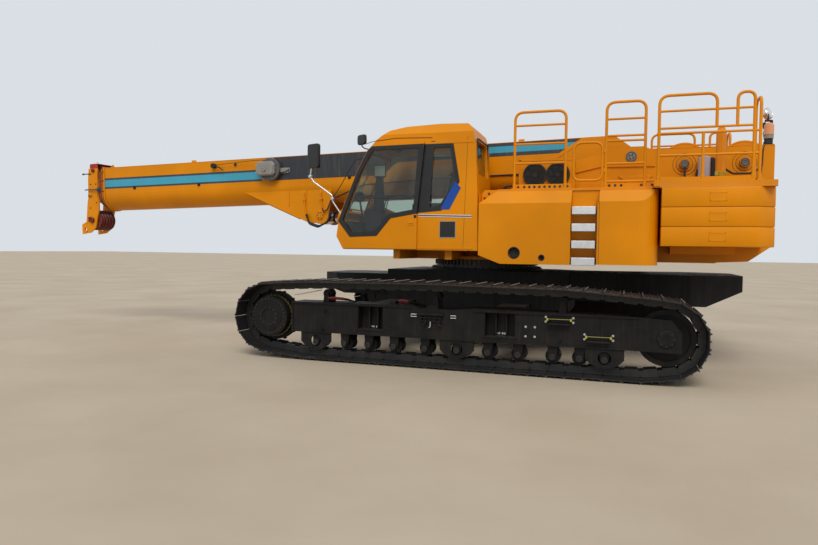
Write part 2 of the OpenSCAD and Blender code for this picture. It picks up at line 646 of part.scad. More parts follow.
// Counterweight: three slabs, each a left and a right casting
weight_top = weight_z0 + 3 * slab_h + 8;
weight_deck = weight_top + 78;
plate_out_y = plate_in + plate_t + 20;
module counterweight(i) {
    z0 = weight_z0 + i * (slab_h + 4);
    color(yellow) place() for (s = [-1, 1]) mirror_side(s) {
        translate([0, 0, z0]) linear_extrude(slab_h) polygon([[-weight_front, box_in], [-weight_front, upper_half],
            [-weight_back, upper_half], [-weight_back - 200, upper_half - 180], [-weight_back - 200, plate_out_y],
            [-weight_back + 255, plate_out_y], [-weight_back + 255, box_in]]);
        // Blank raised pad on the flank
        block([-3290, upper_half - 1, z0 + 70], [-3100, upper_half + 4, z0 + 175]);
    }
}
module counterweight_lower() { counterweight(0); }
module counterweight_middle() { counterweight(1); }
module counterweight_upper() { counterweight(2); }

// Deck plates over the housings and the counterweight, and the round posts that lower the counterweight
post_x = -3267;
module deck() {
    color(yellow) place() {
        block([-2440, plate_out_y, box_top + seat_gap], [-410, upper_half - 220, deck_z - 14]);
        for (s = [-1, 1]) mirror_side(s) {
            block([-weight_back - 190, plate_out_y, weight_top + seat_gap], [-2526, upper_half - 20, weight_deck]);
            block([-2527, plate_out_y, box_top + 16], [-2450, upper_half - 20, weight_deck]);
            translate([post_x, 1000, weight_deck - 1]) cylinder(r = 62, h = 690);
            translate([post_x, 1000, weight_deck + 689]) cylinder(r1 = 62, r2 = 40, h = 30);
        }
    }
}

// Handrails of bent tube along the housings and round the counterweight
rail_y = upper_half - 270;
rear_y = upper_half - 60;
hoop_foot = 3085;
// Hoops. Columns: rear x, front x, rear foot z, front foot z, top z, corner radius
side_hoops = [
    [-1325, -635, deck_z - 14, deck_z - 14, 3428, 90],
    [-2340, -1850, deck_z - 14, deck_z - 14, 3498, 90]];
rear_hoops = [
    [-3160, -2495, hoop_foot, weight_deck, 3495, 90],
    [-3577, -3389, weight_deck, hoop_foot, 3490, 80]];
// Straight rails. Columns: rear x, front x, z
side_bars = [[-1325, -635, 3245], [-1325, -635, 2990], [-1325, -635, 2725],
    [-2340, -1850, 3275], [-2340, -1850, 3055], [-2340, -1850, 2990], [-2340, -1850, 2690], [-2470, -1850, 2455],
    [-1850, -1805, 2860], [-1850, -1805, 2600]];
rear_bars = [[-3577, -2495, 3300], [-3577, -2495, hoop_foot], [-3645, -2470, 3020], [-3645, -2495, 2745]];
module hoop(row, y) {
    x0 = row[0];
    x1 = row[1];
    top = row[4];
    r = row[5];
    tube_path([[x0, y, row[2]], [x0, y, top - r], [x0 + r, y, top], [x1 - r, y, top], [x1, y, top - r],
        [x1, y, row[3]]], rail_r);
}
module bars(rows, y) {
    for (row = rows) tube_between([row[0], y, row[2]], [row[1], y, row[2]], rail_r * 0.8);
}
module rear_rails(y) {
    for (row = rear_hoops) hoop(row, y);
    bars(rear_bars, y);
    tube_between([-3010, y, weight_deck], [-3010, y, 3020], rail_r);
    // Rail across the rear corner
    tube_path([[-3645, y, weight_deck], [-3645, y, 3350], [-3645, y - 80, 3430], [-3645, y - 260, 3430],
        [-3645, y - 340, 3350], [-3645, y - 340, weight_deck]], rail_r);
}
module handrails_left() {
    color(yellow) place() {
        for (row = side_hoops) hoop(row, rail_y);
        bars(side_bars, rail_y);
        // Swing gate over the ladder
        tube_path([[-1805, rail_y, 2700], [-1805, rail_y, 2900], [-1725, rail_y, 2980], [-1515, rail_y, 2980],
            [-1435, rail_y, 2900], [-1435, rail_y, 2556], [-1515, rail_y, 2476], [-1725, rail_y, 2476],
            [-1805, rail_y, 2556], [-1805, rail_y, 2701]], rail_r * 0.9);
        rear_rails(rear_y);
    }
}
module handrails_right() {
    color(yellow) place() mirror_side(-1) rear_rails(rear_y);
}

// Oil cooler on the deck with two round fan shrouds that face left
fan_x = [-870, -1190];
fan_z = 2605;
module oil_cooler() {
    place() {
        color(yellow) block([-1420, 660, deck_z - 14], [-640, 860, 2825]);
        for (x = fan_x) color(black) difference() {
            bar_y(x, fan_z, 165, 860, 905);
            bar_y(x, fan_z, 140, 890, 906);
        }
    }
}

module mirrors() {
    color(black) place() difference() {
        mirror_arms();
        wall_xz(cab_outline, cab_y0, cab_y1);
    }
}
module mirror_arms() {
    union() {
        tube_path([[1890, cab_y1 - 60, 1990], [2083, cab_y1 - 40, 2306], [2420, cab_y1 - 40, 2700]], 11);
        translate([2420, cab_y1 - 40, 2720]) rotate([0, 0, 70]) block([-28, -88, -25], [28, 88, 350]);
        tube_path([[1400, cab_y1 - 80, 2950], [1600, cab_y1 - 40, 3010], [1650, cab_y1 - 40, 3065]], 8);
        translate([1650, cab_y1 - 40, 3060]) rotate([0, 0, 60]) block([-22, -65, 0], [22, 65, 145]);
    }
}

// Work lamp and beacon on the rear post
module work_lamps() {
    place() {
        color(black) block([-tail_back + 10, 400, 2975], [-tail_back + 60, 450, 3220]);
        color("orange") translate([-tail_back + 90, 425, 3080]) cylinder(r = 55, h = 105);
        color(black) block([-tail_back + 45, 400, 3060], [-tail_back + 135, 450, 3080]);
        color("silver") translate([-tail_back + 50, 425, 3270]) rotate([0, 90, 0]) cylinder(r = 70, h = 90);
        color(black) block([-tail_back + 10, 380, 3220], [-tail_back + 110, 470, 3240]);
    }
}

// Winch drum with two flanges and its motor cap
drum_half = plate_in - 30;
module winch_drum(x) {
    color(yellow) place() {
        bar_y(x, drum_z, 210, -drum_half, drum_half);
        for (s = [-1, 1]) bar_y(x, drum_z, 310, s * (drum_half - 15) - 15, s * (drum_half - 15) + 15);
        bar_y(x, drum_z, 60, -plate_in - plate_t - 60, plate_in + plate_t + 60);
    }
}
module main_drum() { winch_drum(drum_x[0]); }
module auxiliary_drum() { winch_drum(drum_x[1]); }

// Boom cylinder, drawn along its own axis from the lower pin
eye_x = foot_x + ram_eye_x * cos(boom_rest) - ram_eye_z * sin(boom_rest);
eye_z = foot_z - ram_eye_x * sin(boom_rest) - ram_eye_z * cos(boom_rest);
ram_len = norm([eye_x + ram_back, eye_z - ram_z]);
ram_angle = atan2(eye_z - ram_z, eye_x + ram_back);
gland_len = ram_len - 260;
module along_ram() { place() translate([-ram_back, 0, ram_z]) rotate([0, -ram_angle, 0]) children(); }
module along_x(r, x0, x1) { translate([x0, 0, 0]) rotate([0, 90, 0]) cylinder(r = r, h = x1 - x0); }
module lift_barrel() {
    color(yellow) along_ram() difference() {
        union() {
            along_x(barrel_r, 160, gland_len);
            along_x(barrel_r + 14, gland_len - 120, gland_len - 10);
            bar_y(0, 0, 150, -120, 120);
            block([0, -100, -130], [180, 100, 130]);
            bar_y(0, 0, 60, -plate_in - plate_t - 30, plate_in + plate_t + 30);
        }
        along_x(barrel_r - 30, 240, gland_len - 110);
        along_x(rod_r + fit, gland_len - 120, gland_len + 1);
    }
}
module lift_rod() {
    color("silver") along_ram() difference() {
        union() {
            along_x(rod_r, 320, ram_len - 100);
            along_x(barrel_r - 30 - fit, 270, 340);
            bar_y(ram_len, 0, 130, -95, 95);
            block([ram_len - 150, -80, -80], [ram_len - 60, 80, 80]);
        }
        bar_y(ram_len, 0, 55, -96, 96);
    }
}

// Boom sections: a flat top, upright sides and a half-round underside
module along_boom() { place() translate([foot_x, 0, foot_z]) rotate([0, boom_rest, 0]) children(); }
step_w = 2 * (boom_wall + boom_gap);
function sec_w(i) = boom_w - i * step_w;
function sec_h(i) = boom_h - i * step_w;
boom_mid = boom_up - boom_h / 2;
module trough(w, h) {
    translate([0, boom_mid]) union() {
        translate([-w / 2, -h / 2 + w / 2]) square([w, h - w / 2]);
        translate([0, -h / 2 + w / 2]) circle(r = w / 2, $fn = 96);
    }
}
// A length of a hollow section: outer width and height, wall, from x0 to x1
module shell(w, h, wall, x0, x1) {
    translate([x0, 0, 0]) rotate([90, 0, 90]) linear_extrude(x1 - x0)
        difference() { trough(w, h); trough(w - 2 * wall, h - 2 * wall); }
}
pad = boom_wall + boom_gap - fit;
module boom_section(i) {
    front = base_len + i * collar;
    color(yellow) along_boom() {
        shell(sec_w(i), sec_h(i), boom_wall, 350 + i * 60, front);
        // Front collar: proud outside, and inside it carries the wear pads of the next section
        shell(sec_w(i) + 2 * boom_gap, sec_h(i) + 2 * boom_gap, boom_gap + (i < 4 ? pad : boom_wall),
            front - collar + 2, front);
        // Rear pads that run inside the section before
        shell(sec_w(i) + 2 * (boom_gap - fit), sec_h(i) + 2 * (boom_gap - fit), boom_gap,
            350 + i * 60, 420 + i * 60);
    }
}
module boom_section_2() { boom_section(1); }
module boom_section_3() { boom_section(2); }
module boom_section_4() { boom_section(3); }
module boom_section_5() { boom_section(4); }

gusset_in = 255;
gusset_t = 30;
module boom_base() {
    color(yellow) along_boom() {
        difference() {
            union() {
                shell(boom_w, boom_h, boom_wall, -170, base_len);
                shell(boom_w + 30, boom_h + 30, 15 + boom_wall, base_len - 60, base_len - 8);
                shell(boom_w, boom_h, pad, base_len - 60, base_len);
                // Foot boss across the boom
                bar_y(0, 0, 150, -boom_w / 2 - 30, boom_w / 2 + 30);
                bar_y(0, 0, 120, -plate_in + 6, plate_in - 6);
                // Doubler plates at the foot
                for (s = [-1, 1]) wall_xz([[-170, -200], [-170, 200], [230, 340], [700, 340], [1150, 60],
                    [1150, -90], [600, -200]],
                    s > 0 ? boom_w / 2 - 1 : -boom_w / 2 - 11, s > 0 ? boom_w / 2 + 11 : -boom_w / 2 + 1);
            }
            // Sloped tail
            wall_xz([[-500, 60], [-171, 70], [-50, 130], [230, boom_up + 1], [230, 500], [-500, 500]],
                -boom_w, boom_w);
            wall_xz([[-171, -260], [100, -453], [100, -600], [-400, -600], [-400, -260]], -boom_w, boom_w);
            bar_y(0, 0, foot_pin_r, -boom_w, boom_w);
        }
        bar_y(0, 0, foot_pin_r, -plate_in - plate_t - 25, plate_in + plate_t + 25);
        // Bracket of the boom cylinder: two cheeks and the sloped plate between them
        difference() {
            union() {
                for (y = [gusset_in, -gusset_in - gusset_t])
                    wall_xz(concat([[ram_eye_x + 1472, -200], [ram_eye_x + 1472, -240],
                        [ram_eye_x + 172, -ram_eye_z - 131]], arc(ram_eye_x, -ram_eye_z, 150, -60, -180, 8),
                        [[ram_eye_x - 208, -420], [ram_eye_x - 208, -200]]), y, y + gusset_t);
                wall_xz([[ram_eye_x + 1172, -400], [ram_eye_x + 412, -ram_eye_z - 55],
                    [ram_eye_x + 412, -ram_eye_z - 31], [ram_eye_x + 1172, -376]], -gusset_in - 1, gusset_in + 1);
            }
            bar_y(ram_eye_x, -ram_eye_z, 60, -300, 300);
            translate([ram_eye_x - 308, 0, 0]) rotate([90, 0, 90]) linear_extrude(2000)
                trough(boom_w - 2 * boom_wall, boom_h - 2 * boom_wall);
        }
    }
}

// Boom head: two cheeks with a toe, joined by cross plates
head_x = base_len + 4 * collar;
head_half = sec_w(4) / 2 + 14;
sheave_x = head_x + 165;
sheave_z = -640;
guide_x = head_x + 125;
guide_z = boom_up - 23;
guide_r = 125;
// Hole for the pin of a fly jib in the toe of the head
jib_hole_r = 30;
jib_hole = [head_x + 335, -815];
module boom_head() {
    cheek = [for (p = [[28, 345], [45, 365], [239, 365], [261, 157], [261, -183], [283, -288], [305, -524],
        [318, -665], [430, -719], [425, -905], [225, -880], [92, -783], [48, -583], [8, -441], [8, -312],
        [38, -183]]) [head_x + p[0], p[1]]];
    color(yellow) along_boom() {
        for (s = [-1, 1]) difference() {
            wall_xz(cheek, s > 0 ? head_half - 28 : -head_half, s > 0 ? head_half : -head_half + 28);
            bar_y(jib_hole[0], jib_hole[1], jib_hole_r, -head_half - 1, head_half + 1);
        }
        block([head_x, -head_half + 20, -300], [head_x + 45, head_half - 20, 160]);
        block([head_x + 40, -head_half + 20, 140], [head_x + 250, head_half - 20, 160]);
        block([head_x + 230, -head_half + 20, -180], [head_x + 252, head_half - 20, 170]);
        bar_y(sheave_x, sheave_z, 40, -head_half - 30, head_half + 30);
        bar_y(guide_x, guide_z, 25, -head_half - 20, head_half + 20);
    }
}
module sheave(x, z, r, bore, y, w) {
    translate([x, y, z]) rotate([90, 0, 0]) difference() {
        rotate_extrude($fn = 64) translate([0, -w / 2]) polygon([[bore, 0], [r, 0], [r, w * 0.15],
            [r * 0.86, w * 0.4], [r * 0.86, w * 0.6], [r, w * 0.85], [r, w], [bore, w]]);
    }
}
module hoist_sheaves() {
    step = (2 * head_half - 56 - 20) / sheaves;
    color("#7d2320") along_boom() for (i = [0:sheaves - 1])
        sheave(sheave_x, sheave_z, sheave_r, 40 + pin_fit, (i - (sheaves - 1) / 2) * step, step);
}
module guide_sheaves() {
    color("#b3312c") along_boom() for (s = [-1, 1]) sheave(guide_x, guide_z, guide_r, 25 + pin_fit, s * 70, 50);
}

// Cable reel on the left of the base section
reel_x = 5915;
reel_z = 110;
module cable_reel() {
    color("#8d9194") along_boom() {
        face = boom_w / 2;
        bar_y(reel_x, reel_z, 195, face + 40, face + 52);
        bar_y(reel_x, reel_z, 195, face + 88, face + 100);
        bar_y(reel_x, reel_z, 120, face, face + 110);
        // Housing of the spring motor in front of the reel, and the bracket behind it
        wall_xz([for (p = [[-110, -75], [-60, -122], [150, -122], [205, -60], [205, 60], [150, 108], [-60, 108],
            [-110, 60]]) [reel_x + p[0], reel_z + p[1]]], face + 99, face + 165);
        block([reel_x - 355, face, reel_z - 50], [reel_x - 110, face + 60, reel_z + 45]);
    }
}

carbody();
slew_ring();
on_track(1) side_frame();  // side_frame_left
on_track(-1) side_frame();  // side_frame_right
on_track(1) track();  // track_left
on_track(-1) track();  // track_right
on_track(1) sprocket();  // sprocket_left
on_track(-1) sprocket();  // sprocket_right
on_track(1) idler();  // idler_left
on_track(-1) idler();  // idler_right
on_track(1) rollers();  // rollers_left
on_track(-1) rollers();  // rollers_right
turntable();
cab_shell();
cab_glass();
cab_seat();
cab_door();
door_glass();
left_housing();
fuel_tank();
access_ladder();
engine_housing();
engine_block();
counterweight_lower();
counterweight_middle();
counterweight_upper();
deck();
handrails_left();
handrails_right();
oil_cooler();
mirrors();
work_lamps();
main_drum();
auxiliary_drum();
lift_barrel();
lift_rod();
boom_base();
boom_section_2();
boom_section_3();
boom_section_4();
boom_section_5();
boom_head();
hoist_sheaves();
guide_sheaves();
cable_reel();
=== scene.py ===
# Looks of a tracked crane with a telescopic boom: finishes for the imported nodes, and the pieces that only show.
import json
import random
import bpy
import bmesh
from math import acos, atan2, cos, hypot, pi, radians, sin, sqrt, tan, tau
from mathutils import Matrix, Vector


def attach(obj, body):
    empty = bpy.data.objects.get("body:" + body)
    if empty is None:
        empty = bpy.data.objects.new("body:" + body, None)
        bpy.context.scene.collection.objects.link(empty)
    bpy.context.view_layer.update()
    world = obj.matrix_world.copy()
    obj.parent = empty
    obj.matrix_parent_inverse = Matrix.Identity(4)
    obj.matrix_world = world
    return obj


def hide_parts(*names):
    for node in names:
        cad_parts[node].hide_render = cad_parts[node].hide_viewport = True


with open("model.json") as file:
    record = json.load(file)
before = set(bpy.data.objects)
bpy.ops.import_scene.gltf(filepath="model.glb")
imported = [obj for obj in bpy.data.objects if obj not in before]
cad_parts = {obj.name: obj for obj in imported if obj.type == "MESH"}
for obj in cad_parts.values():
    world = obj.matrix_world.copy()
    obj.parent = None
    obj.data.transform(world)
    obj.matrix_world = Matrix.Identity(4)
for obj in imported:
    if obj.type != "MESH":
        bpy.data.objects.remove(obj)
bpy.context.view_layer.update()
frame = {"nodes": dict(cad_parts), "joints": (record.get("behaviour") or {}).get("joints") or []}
nodes = frame["nodes"]
joint_at = {j["name"]: j for j in frame["joints"]}


def move(x, y, z):
    return Matrix.Translation((x, y, z))


def turn(angle, axis):
    return Matrix.Rotation(angle, 4, axis)


# The slewing axis and the boom's foot pin, from the joints
AXIS_X = joint_at["slew"]["pos_m"][0]
FOOT = Vector(joint_at["boom_luff"]["pos_m"])
RAM_PIN = Vector(joint_at["ram_pivot"]["pos_m"])
BOOM_REST = radians(1.3)
HOME = move(AXIS_X, 0, 0)
PLAIN = Matrix.Identity(4)
BOOM = Matrix.Translation(FOOT) @ turn(BOOM_REST, "Y")
HALF_WIDTH = 1.5          # upper works
PLATE_FACE = 0.5          # outer face of the upper frame's side plates
TRACK_Y = 2.1             # centre line of a track


# ---------------------------------------------------------------- colours and node groups
def srgb(r, g, b):
    """A colour written as in a paint chart, 0 to 255, as Blender's linear values."""
    def lin(v):
        v /= 255
        return v / 12.92 if v < 0.04045 else ((v + 0.055) / 1.055) ** 2.4
    return (lin(r), lin(g), lin(b), 1.0)


def darker(colour, share):
    """A share of a colour's light, opaque."""
    return tuple(c * share for c in colour[:3]) + (1.0,)


YELLOW = srgb(232, 144, 0)
GRAPHITE = srgb(22, 22, 23)
TRACK_BLACK = srgb(25, 25, 26)
STRIPE_BLUE = srgb(70, 170, 200)
STRIPE_EDGE = srgb(62, 72, 80)
BOOM_GREY = srgb(58, 60, 66)
CAB_BLUE = srgb(24, 76, 165)
DUST = srgb(176, 160, 134)


class Net:
    """A shader or group node tree that is filled node by node."""
    def __init__(self, tree):
        self.tree = tree

    def add(self, kind, **values):
        node = self.tree.nodes.new(kind)
        for key, value in values.items():
            setattr(node, key, value)
        return node

    def link(self, a, b):
        self.tree.links.new(a, b)

    def place(self):
        """The object coordinates that patterns lie in."""
        return self.add("ShaderNodeTexCoord").outputs["Object"]

    def feed(self, socket, value):
        """Sets a socket to a value, or links another socket to it."""
        if isinstance(value, (int, float, tuple)):
            socket.default_value = value
        else:
            self.link(value, socket)

    def noise(self, source, scale, detail=4.0, rough=0.55):
        node = self.add("ShaderNodeTexNoise")
        node.inputs["Scale"].default_value = scale
        node.inputs["Detail"].default_value = detail
        node.inputs["Roughness"].default_value = rough
        self.link(source, node.inputs["Vector"])
        return node.outputs["Fac"]

    def ramp(self, source, low, high, out_low=0.0, out_high=1.0):
        node = self.add("ShaderNodeMapRange")
        node.inputs["From Min"].default_value = low
        node.inputs["From Max"].default_value = high
        node.inputs["To Min"].default_value = out_low
        node.inputs["To Max"].default_value = out_high
        self.link(source, node.inputs["Value"])
        return node.outputs["Result"]

    def math(self, operation, a, b=None, clamp=False):
        node = self.add("ShaderNodeMath", operation=operation, use_clamp=clamp)
        for socket, value in zip(node.inputs, (a, b)):
            if value is not None:
                self.feed(socket, value)
        return node.outputs["Value"]

    def mix(self, factor, a, b):
        node = self.add("ShaderNodeMix", data_type="RGBA")
        for name, value in (("Factor", factor), ("A", a), ("B", b)):
            self.feed([s for s in node.inputs if s.name == name and s.enabled][0], value)
        return [s for s in node.outputs if s.enabled][0]


def new_group(name, inputs, outputs):
    tree = bpy.data.node_groups.new(name, "ShaderNodeTree")
    for label, kind, value in inputs:
        socket = tree.interface.new_socket(label, in_out="INPUT", socket_type=kind)
        socket.default_value = value
    for label, kind in outputs:
        tree.interface.new_socket(label, in_out="OUTPUT", socket_type=kind)
    net = Net(tree)
    return net, net.add("NodeGroupInput").outputs, net.add("NodeGroupOutput").inputs


def build_paint_group():
    """Paint on plate: slight shade changes, rain streaks, dust that settles on tops and near the ground."""
    net, given, out = new_group("Painted plate", [("Paint", "NodeSocketColor", YELLOW),
        ("Dust", "NodeSocketColor", DUST), ("Up", "NodeSocketFloat", 0.0),
        ("Dust amount", "NodeSocketFloat", 0.3), ("Ground dust", "NodeSocketFloat", 0.3),
        ("Streaks", "NodeSocketFloat", 0.15), ("Gloss", "NodeSocketFloat", 0.34)],
        [("Color", "NodeSocketColor"), ("Roughness", "NodeSocketFloat"), ("Height", "NodeSocketFloat")])
    place = net.place()
    axes = net.add("ShaderNodeSeparateXYZ")
    net.link(place, axes.inputs[0])
    stretched = net.add("ShaderNodeMapping")
    stretched.inputs["Scale"].default_value = (9.0, 9.0, 0.7)
    net.link(place, stretched.inputs["Vector"])
    broad = net.noise(place, 0.9, 3.0)
    patches = net.noise(place, 6.0, 6.0, 0.65)
    streaks = net.noise(stretched.outputs["Vector"], 2.2, 5.0, 0.6)
    fine = net.noise(place, 140.0, 2.0)
    shade = net.mix(net.ramp(broad, 0.35, 0.65, 0.0, 0.16), given["Paint"], (0.0, 0.0, 0.0, 1.0))
    dirt = net.math("MULTIPLY", net.ramp(streaks, 0.5, 0.72), given["Streaks"])
    shade = net.mix(dirt, shade, given["Dust"])
    top = net.math("MULTIPLY", net.ramp(given["Up"], 0.45, 1.0), net.ramp(patches, 0.3, 0.7, 0.35, 1.0))
    low = net.math("MULTIPLY", net.ramp(axes.outputs["Z"], 1.1, 0.0), net.ramp(patches, 0.35, 0.62))
    amount = net.math("ADD", net.math("MULTIPLY", top, given["Dust amount"]),
        net.math("MULTIPLY", low, given["Ground dust"]), clamp=True)
    net.link(net.mix(amount, shade, given["Dust"]), out["Color"])
    rough = net.math("ADD", given["Gloss"], net.ramp(patches, 0.3, 0.75, -0.05, 0.12))
    net.link(net.math("ADD", rough, net.math("MULTIPLY", amount, 0.5), clamp=True), out["Roughness"])
    net.link(net.math("ADD", net.math("MULTIPLY", fine, 0.25), net.math("MULTIPLY", patches, 0.5)),
        out["Height"])
    return net.tree


def build_scuff_group():
    """Bare and half bare steel: dark scale, rubbed patches, soil in broad patches."""
    net, given, out = new_group("Scuffed steel", [("Base", "NodeSocketColor", TRACK_BLACK),
        ("Rubbed", "NodeSocketColor", srgb(120, 116, 110)), ("Soil", "NodeSocketColor", DUST),
        ("Rub", "NodeSocketFloat", 0.35), ("Soil amount", "NodeSocketFloat", 0.2),
        ("Grain", "NodeSocketFloat", 30.0)], [("Color", "NodeSocketColor"), ("Metal", "NodeSocketFloat"),
        ("Roughness", "NodeSocketFloat"), ("Height", "NodeSocketFloat")])
    place = net.place()
    blotch = net.add("ShaderNodeTexNoise")
    blotch.inputs["Detail"].default_value = 8.0
    net.link(place, blotch.inputs["Vector"])
    net.link(given["Grain"], blotch.inputs["Scale"])
    broad = net.noise(place, 3.0, 4.0)
    rub = net.math("MULTIPLY", net.ramp(blotch.outputs["Fac"], 0.52, 0.68), given["Rub"])
    soil = net.math("MULTIPLY", net.ramp(broad, 0.48, 0.7), given["Soil amount"])
    colour = net.mix(rub, given["Base"], given["Rubbed"])
    net.link(net.mix(soil, colour, given["Soil"]), out["Color"])
    net.link(net.math("MULTIPLY", rub, 0.9), out["Metal"])
    net.link(net.math("ADD", net.ramp(blotch.outputs["Fac"], 0.3, 0.75, 0.62, 0.4),
        net.math("MULTIPLY", soil, 0.35)), out["Roughness"])
    net.link(blotch.outputs["Fac"], out["Height"])
    return net.tree


PAINT_GROUP = build_paint_group()
SCUFF_GROUP = build_scuff_group()


def new_material(name):
    material = bpy.data.materials.new(name)
    material.use_nodes = True
    net = Net(material.node_tree)
    shader = material.node_tree.nodes["Principled BSDF"]
    return material, net, shader


def use_group(net, group, values):
    node = net.add("ShaderNodeGroup", node_tree=group)
    for key, value in values.items():
        node.inputs[key].default_value = value
    return node


def add_bump(net, shader, height, distance, strength):
    bump = net.add("ShaderNodeBump")
    bump.inputs["Strength"].default_value = strength
    bump.inputs["Distance"].default_value = distance
    net.link(height, bump.inputs["Height"])
    net.link(bump.outputs["Normal"], shader.inputs["Normal"])


def painted(name, colour, gloss=0.34, dust=0.3, ground=0.3, streaks=0.12, coat=0.25):
    material, net, shader = new_material(name)
    group = use_group(net, PAINT_GROUP, {"Paint": colour, "Gloss": gloss, "Dust amount": dust,
        "Ground dust": ground, "Streaks": streaks})
    normal = net.add("ShaderNodeSeparateXYZ")
    net.link(net.add("ShaderNodeNewGeometry").outputs["Normal"], normal.inputs[0])
    net.link(normal.outputs["Z"], group.inputs["Up"])
    net.link(group.outputs["Color"], shader.inputs["Base Color"])
    net.link(group.outputs["Roughness"], shader.inputs["Roughness"])
    shader.inputs["Coat Weight"].default_value = coat
    shader.inputs["Coat Roughness"].default_value = 0.2
    shader.inputs["Specular IOR Level"].default_value = 0.18
    add_bump(net, shader, group.outputs["Height"], 0.002, 0.06)
    return material


def scuffed(name, base, rubbed, rub=0.35, soil=0.2, grain=30.0, bump=0.2):
    material, net, shader = new_material(name)
    group = use_group(net, SCUFF_GROUP, {"Base": base, "Rubbed": rubbed, "Rub": rub, "Soil amount": soil,
        "Grain": grain})
    net.link(group.outputs["Color"], shader.inputs["Base Color"])
    net.link(group.outputs["Metal"], shader.inputs["Metallic"])
    net.link(group.outputs["Roughness"], shader.inputs["Roughness"])
    add_bump(net, shader, group.outputs["Height"], 0.003, bump)
    return material


def metal(name, colour, roughness=0.3, brushed=0.1):
    """Bright metal with fine brushed lines and handling marks."""
    material, net, shader = new_material(name)
    place = net.place()
    lines = net.add("ShaderNodeMapping")
    lines.inputs["Scale"].default_value = (12.0, 260.0, 260.0)
    net.link(place, lines.inputs["Vector"])
    grain = net.noise(lines.outputs["Vector"], 1.0, 3.0)
    marks = net.noise(place, 9.0, 5.0)
    net.link(net.mix(net.ramp(marks, 0.45, 0.7, 0.0, 0.35), colour, darker(colour, 0.55)),
        shader.inputs["Base Color"])
    net.link(net.ramp(marks, 0.3, 0.7, roughness, roughness + 0.18), shader.inputs["Roughness"])
    shader.inputs["Metallic"].default_value = 1.0
    add_bump(net, shader, grain, 0.0005, brushed)
    return material


def plastic(name, colour, roughness=0.5, grain=320.0, bump=0.15, dust=0.08):
    """Moulded plastic or rubber with a fine grain."""
    material, net, shader = new_material(name)
    place = net.place()
    patches = net.noise(place, 7.0, 4.0)
    net.link(net.mix(net.ramp(patches, 0.4, 0.7, 0.0, dust), colour, DUST), shader.inputs["Base Color"])
    net.link(net.ramp(patches, 0.3, 0.7, roughness, roughness + 0.15), shader.inputs["Roughness"])
    add_bump(net, shader, net.noise(place, grain, 2.0), 0.0006, bump)
    return material


def window_glass(name, tint):
    material, net, shader = new_material(name)
    place = net.place()
    smears = net.noise(place, 5.0, 5.0)
    net.link(net.ramp(smears, 0.4, 0.75, 0.0, 0.03), shader.inputs["Roughness"])
    shader.inputs["Base Color"].default_value = tint
    shader.inputs["Transmission Weight"].default_value = 1.0
    shader.inputs["IOR"].default_value = 1.45
    return material


def lens(name, colour):
    """Ribbed lamp lens."""
    material, net, shader = new_material(name)
    place = net.place()
    rings = net.add("ShaderNodeTexWave")
    rings.inputs["Scale"].default_value = 55.0
    net.link(place, rings.inputs["Vector"])
    net.link(net.mix(net.ramp(rings.outputs["Fac"], 0.2, 0.8, 0.0, 0.3), colour,
        darker(colour, 0.6)), shader.inputs["Base Color"])
    shader.inputs["Roughness"].default_value = 0.12
    shader.inputs["Coat Weight"].default_value = 0.6
    add_bump(net, shader, rings.outputs["Fac"], 0.001, 0.3)
    return material


def chequered(name, colour):
    """Painted tread plate with raised lozenges."""
    material = painted(name, colour, gloss=0.4, dust=0.45)
    net = Net(material.node_tree)
    shader = material.node_tree.nodes["Principled BSDF"]
    place = net.place()
    turned = net.add("ShaderNodeMapping")
    turned.inputs["Rotation"].default_value = (0.0, 0.0, radians(45))
    net.link(place, turned.inputs["Vector"])
    brick = net.add("ShaderNodeTexBrick")
    brick.inputs["Scale"].default_value = 22.0
    brick.inputs["Mortar Size"].default_value = 0.06
    brick.inputs["Color1"].default_value = brick.inputs["Color2"].default_value = (1, 1, 1, 1)
    brick.inputs["Mortar"].default_value = (0, 0, 0, 1)
    net.link(turned.outputs["Vector"], brick.inputs["Vector"])
    add_bump(net, shader, brick.outputs["Color"], 0.003, 0.5)
    return material


def woven(name, colour):
    """Seat cloth with a plain weave."""
    material, net, shader = new_material(name)
    place = net.place()
    waves = []
    for axis in ("X", "Y"):
        wave = net.add("ShaderNodeTexWave", bands_direction=axis)
        wave.inputs["Scale"].default_value = 160.0
        net.link(place, wave.inputs["Vector"])
        waves.append(wave.outputs["Fac"])
    weave = net.math("MAXIMUM", waves[0], waves[1])
    net.link(net.mix(net.ramp(weave, 0.2, 0.9), darker(colour, 0.5), colour),
        shader.inputs["Base Color"])
    shader.inputs["Roughness"].default_value = 0.85
    shader.inputs["Sheen Weight"].default_value = 0.3
    add_bump(net, shader, weave, 0.001, 0.3)
    return material


def striped_warning(name, first, second, width, slope):
    """Slanting two-colour bands, for the blank warning marking on the tail."""
    material, net, shader = new_material(name)
    place = net.place()
    axes = net.add("ShaderNodeSeparateXYZ")
    net.link(place, axes.inputs[0])
    slant = net.math("ADD", net.math("MULTIPLY", axes.outputs["Y"], slope), axes.outputs["Z"])
    phase = net.math("FRACT", net.math("DIVIDE", slant, width))
    net.link(net.mix(net.math("GREATER_THAN", phase, 0.5), first, second), shader.inputs["Base Color"])
    net.link(net.ramp(net.noise(place, 20.0), 0.3, 0.7, 0.3, 0.5), shader.inputs["Roughness"])
    return material


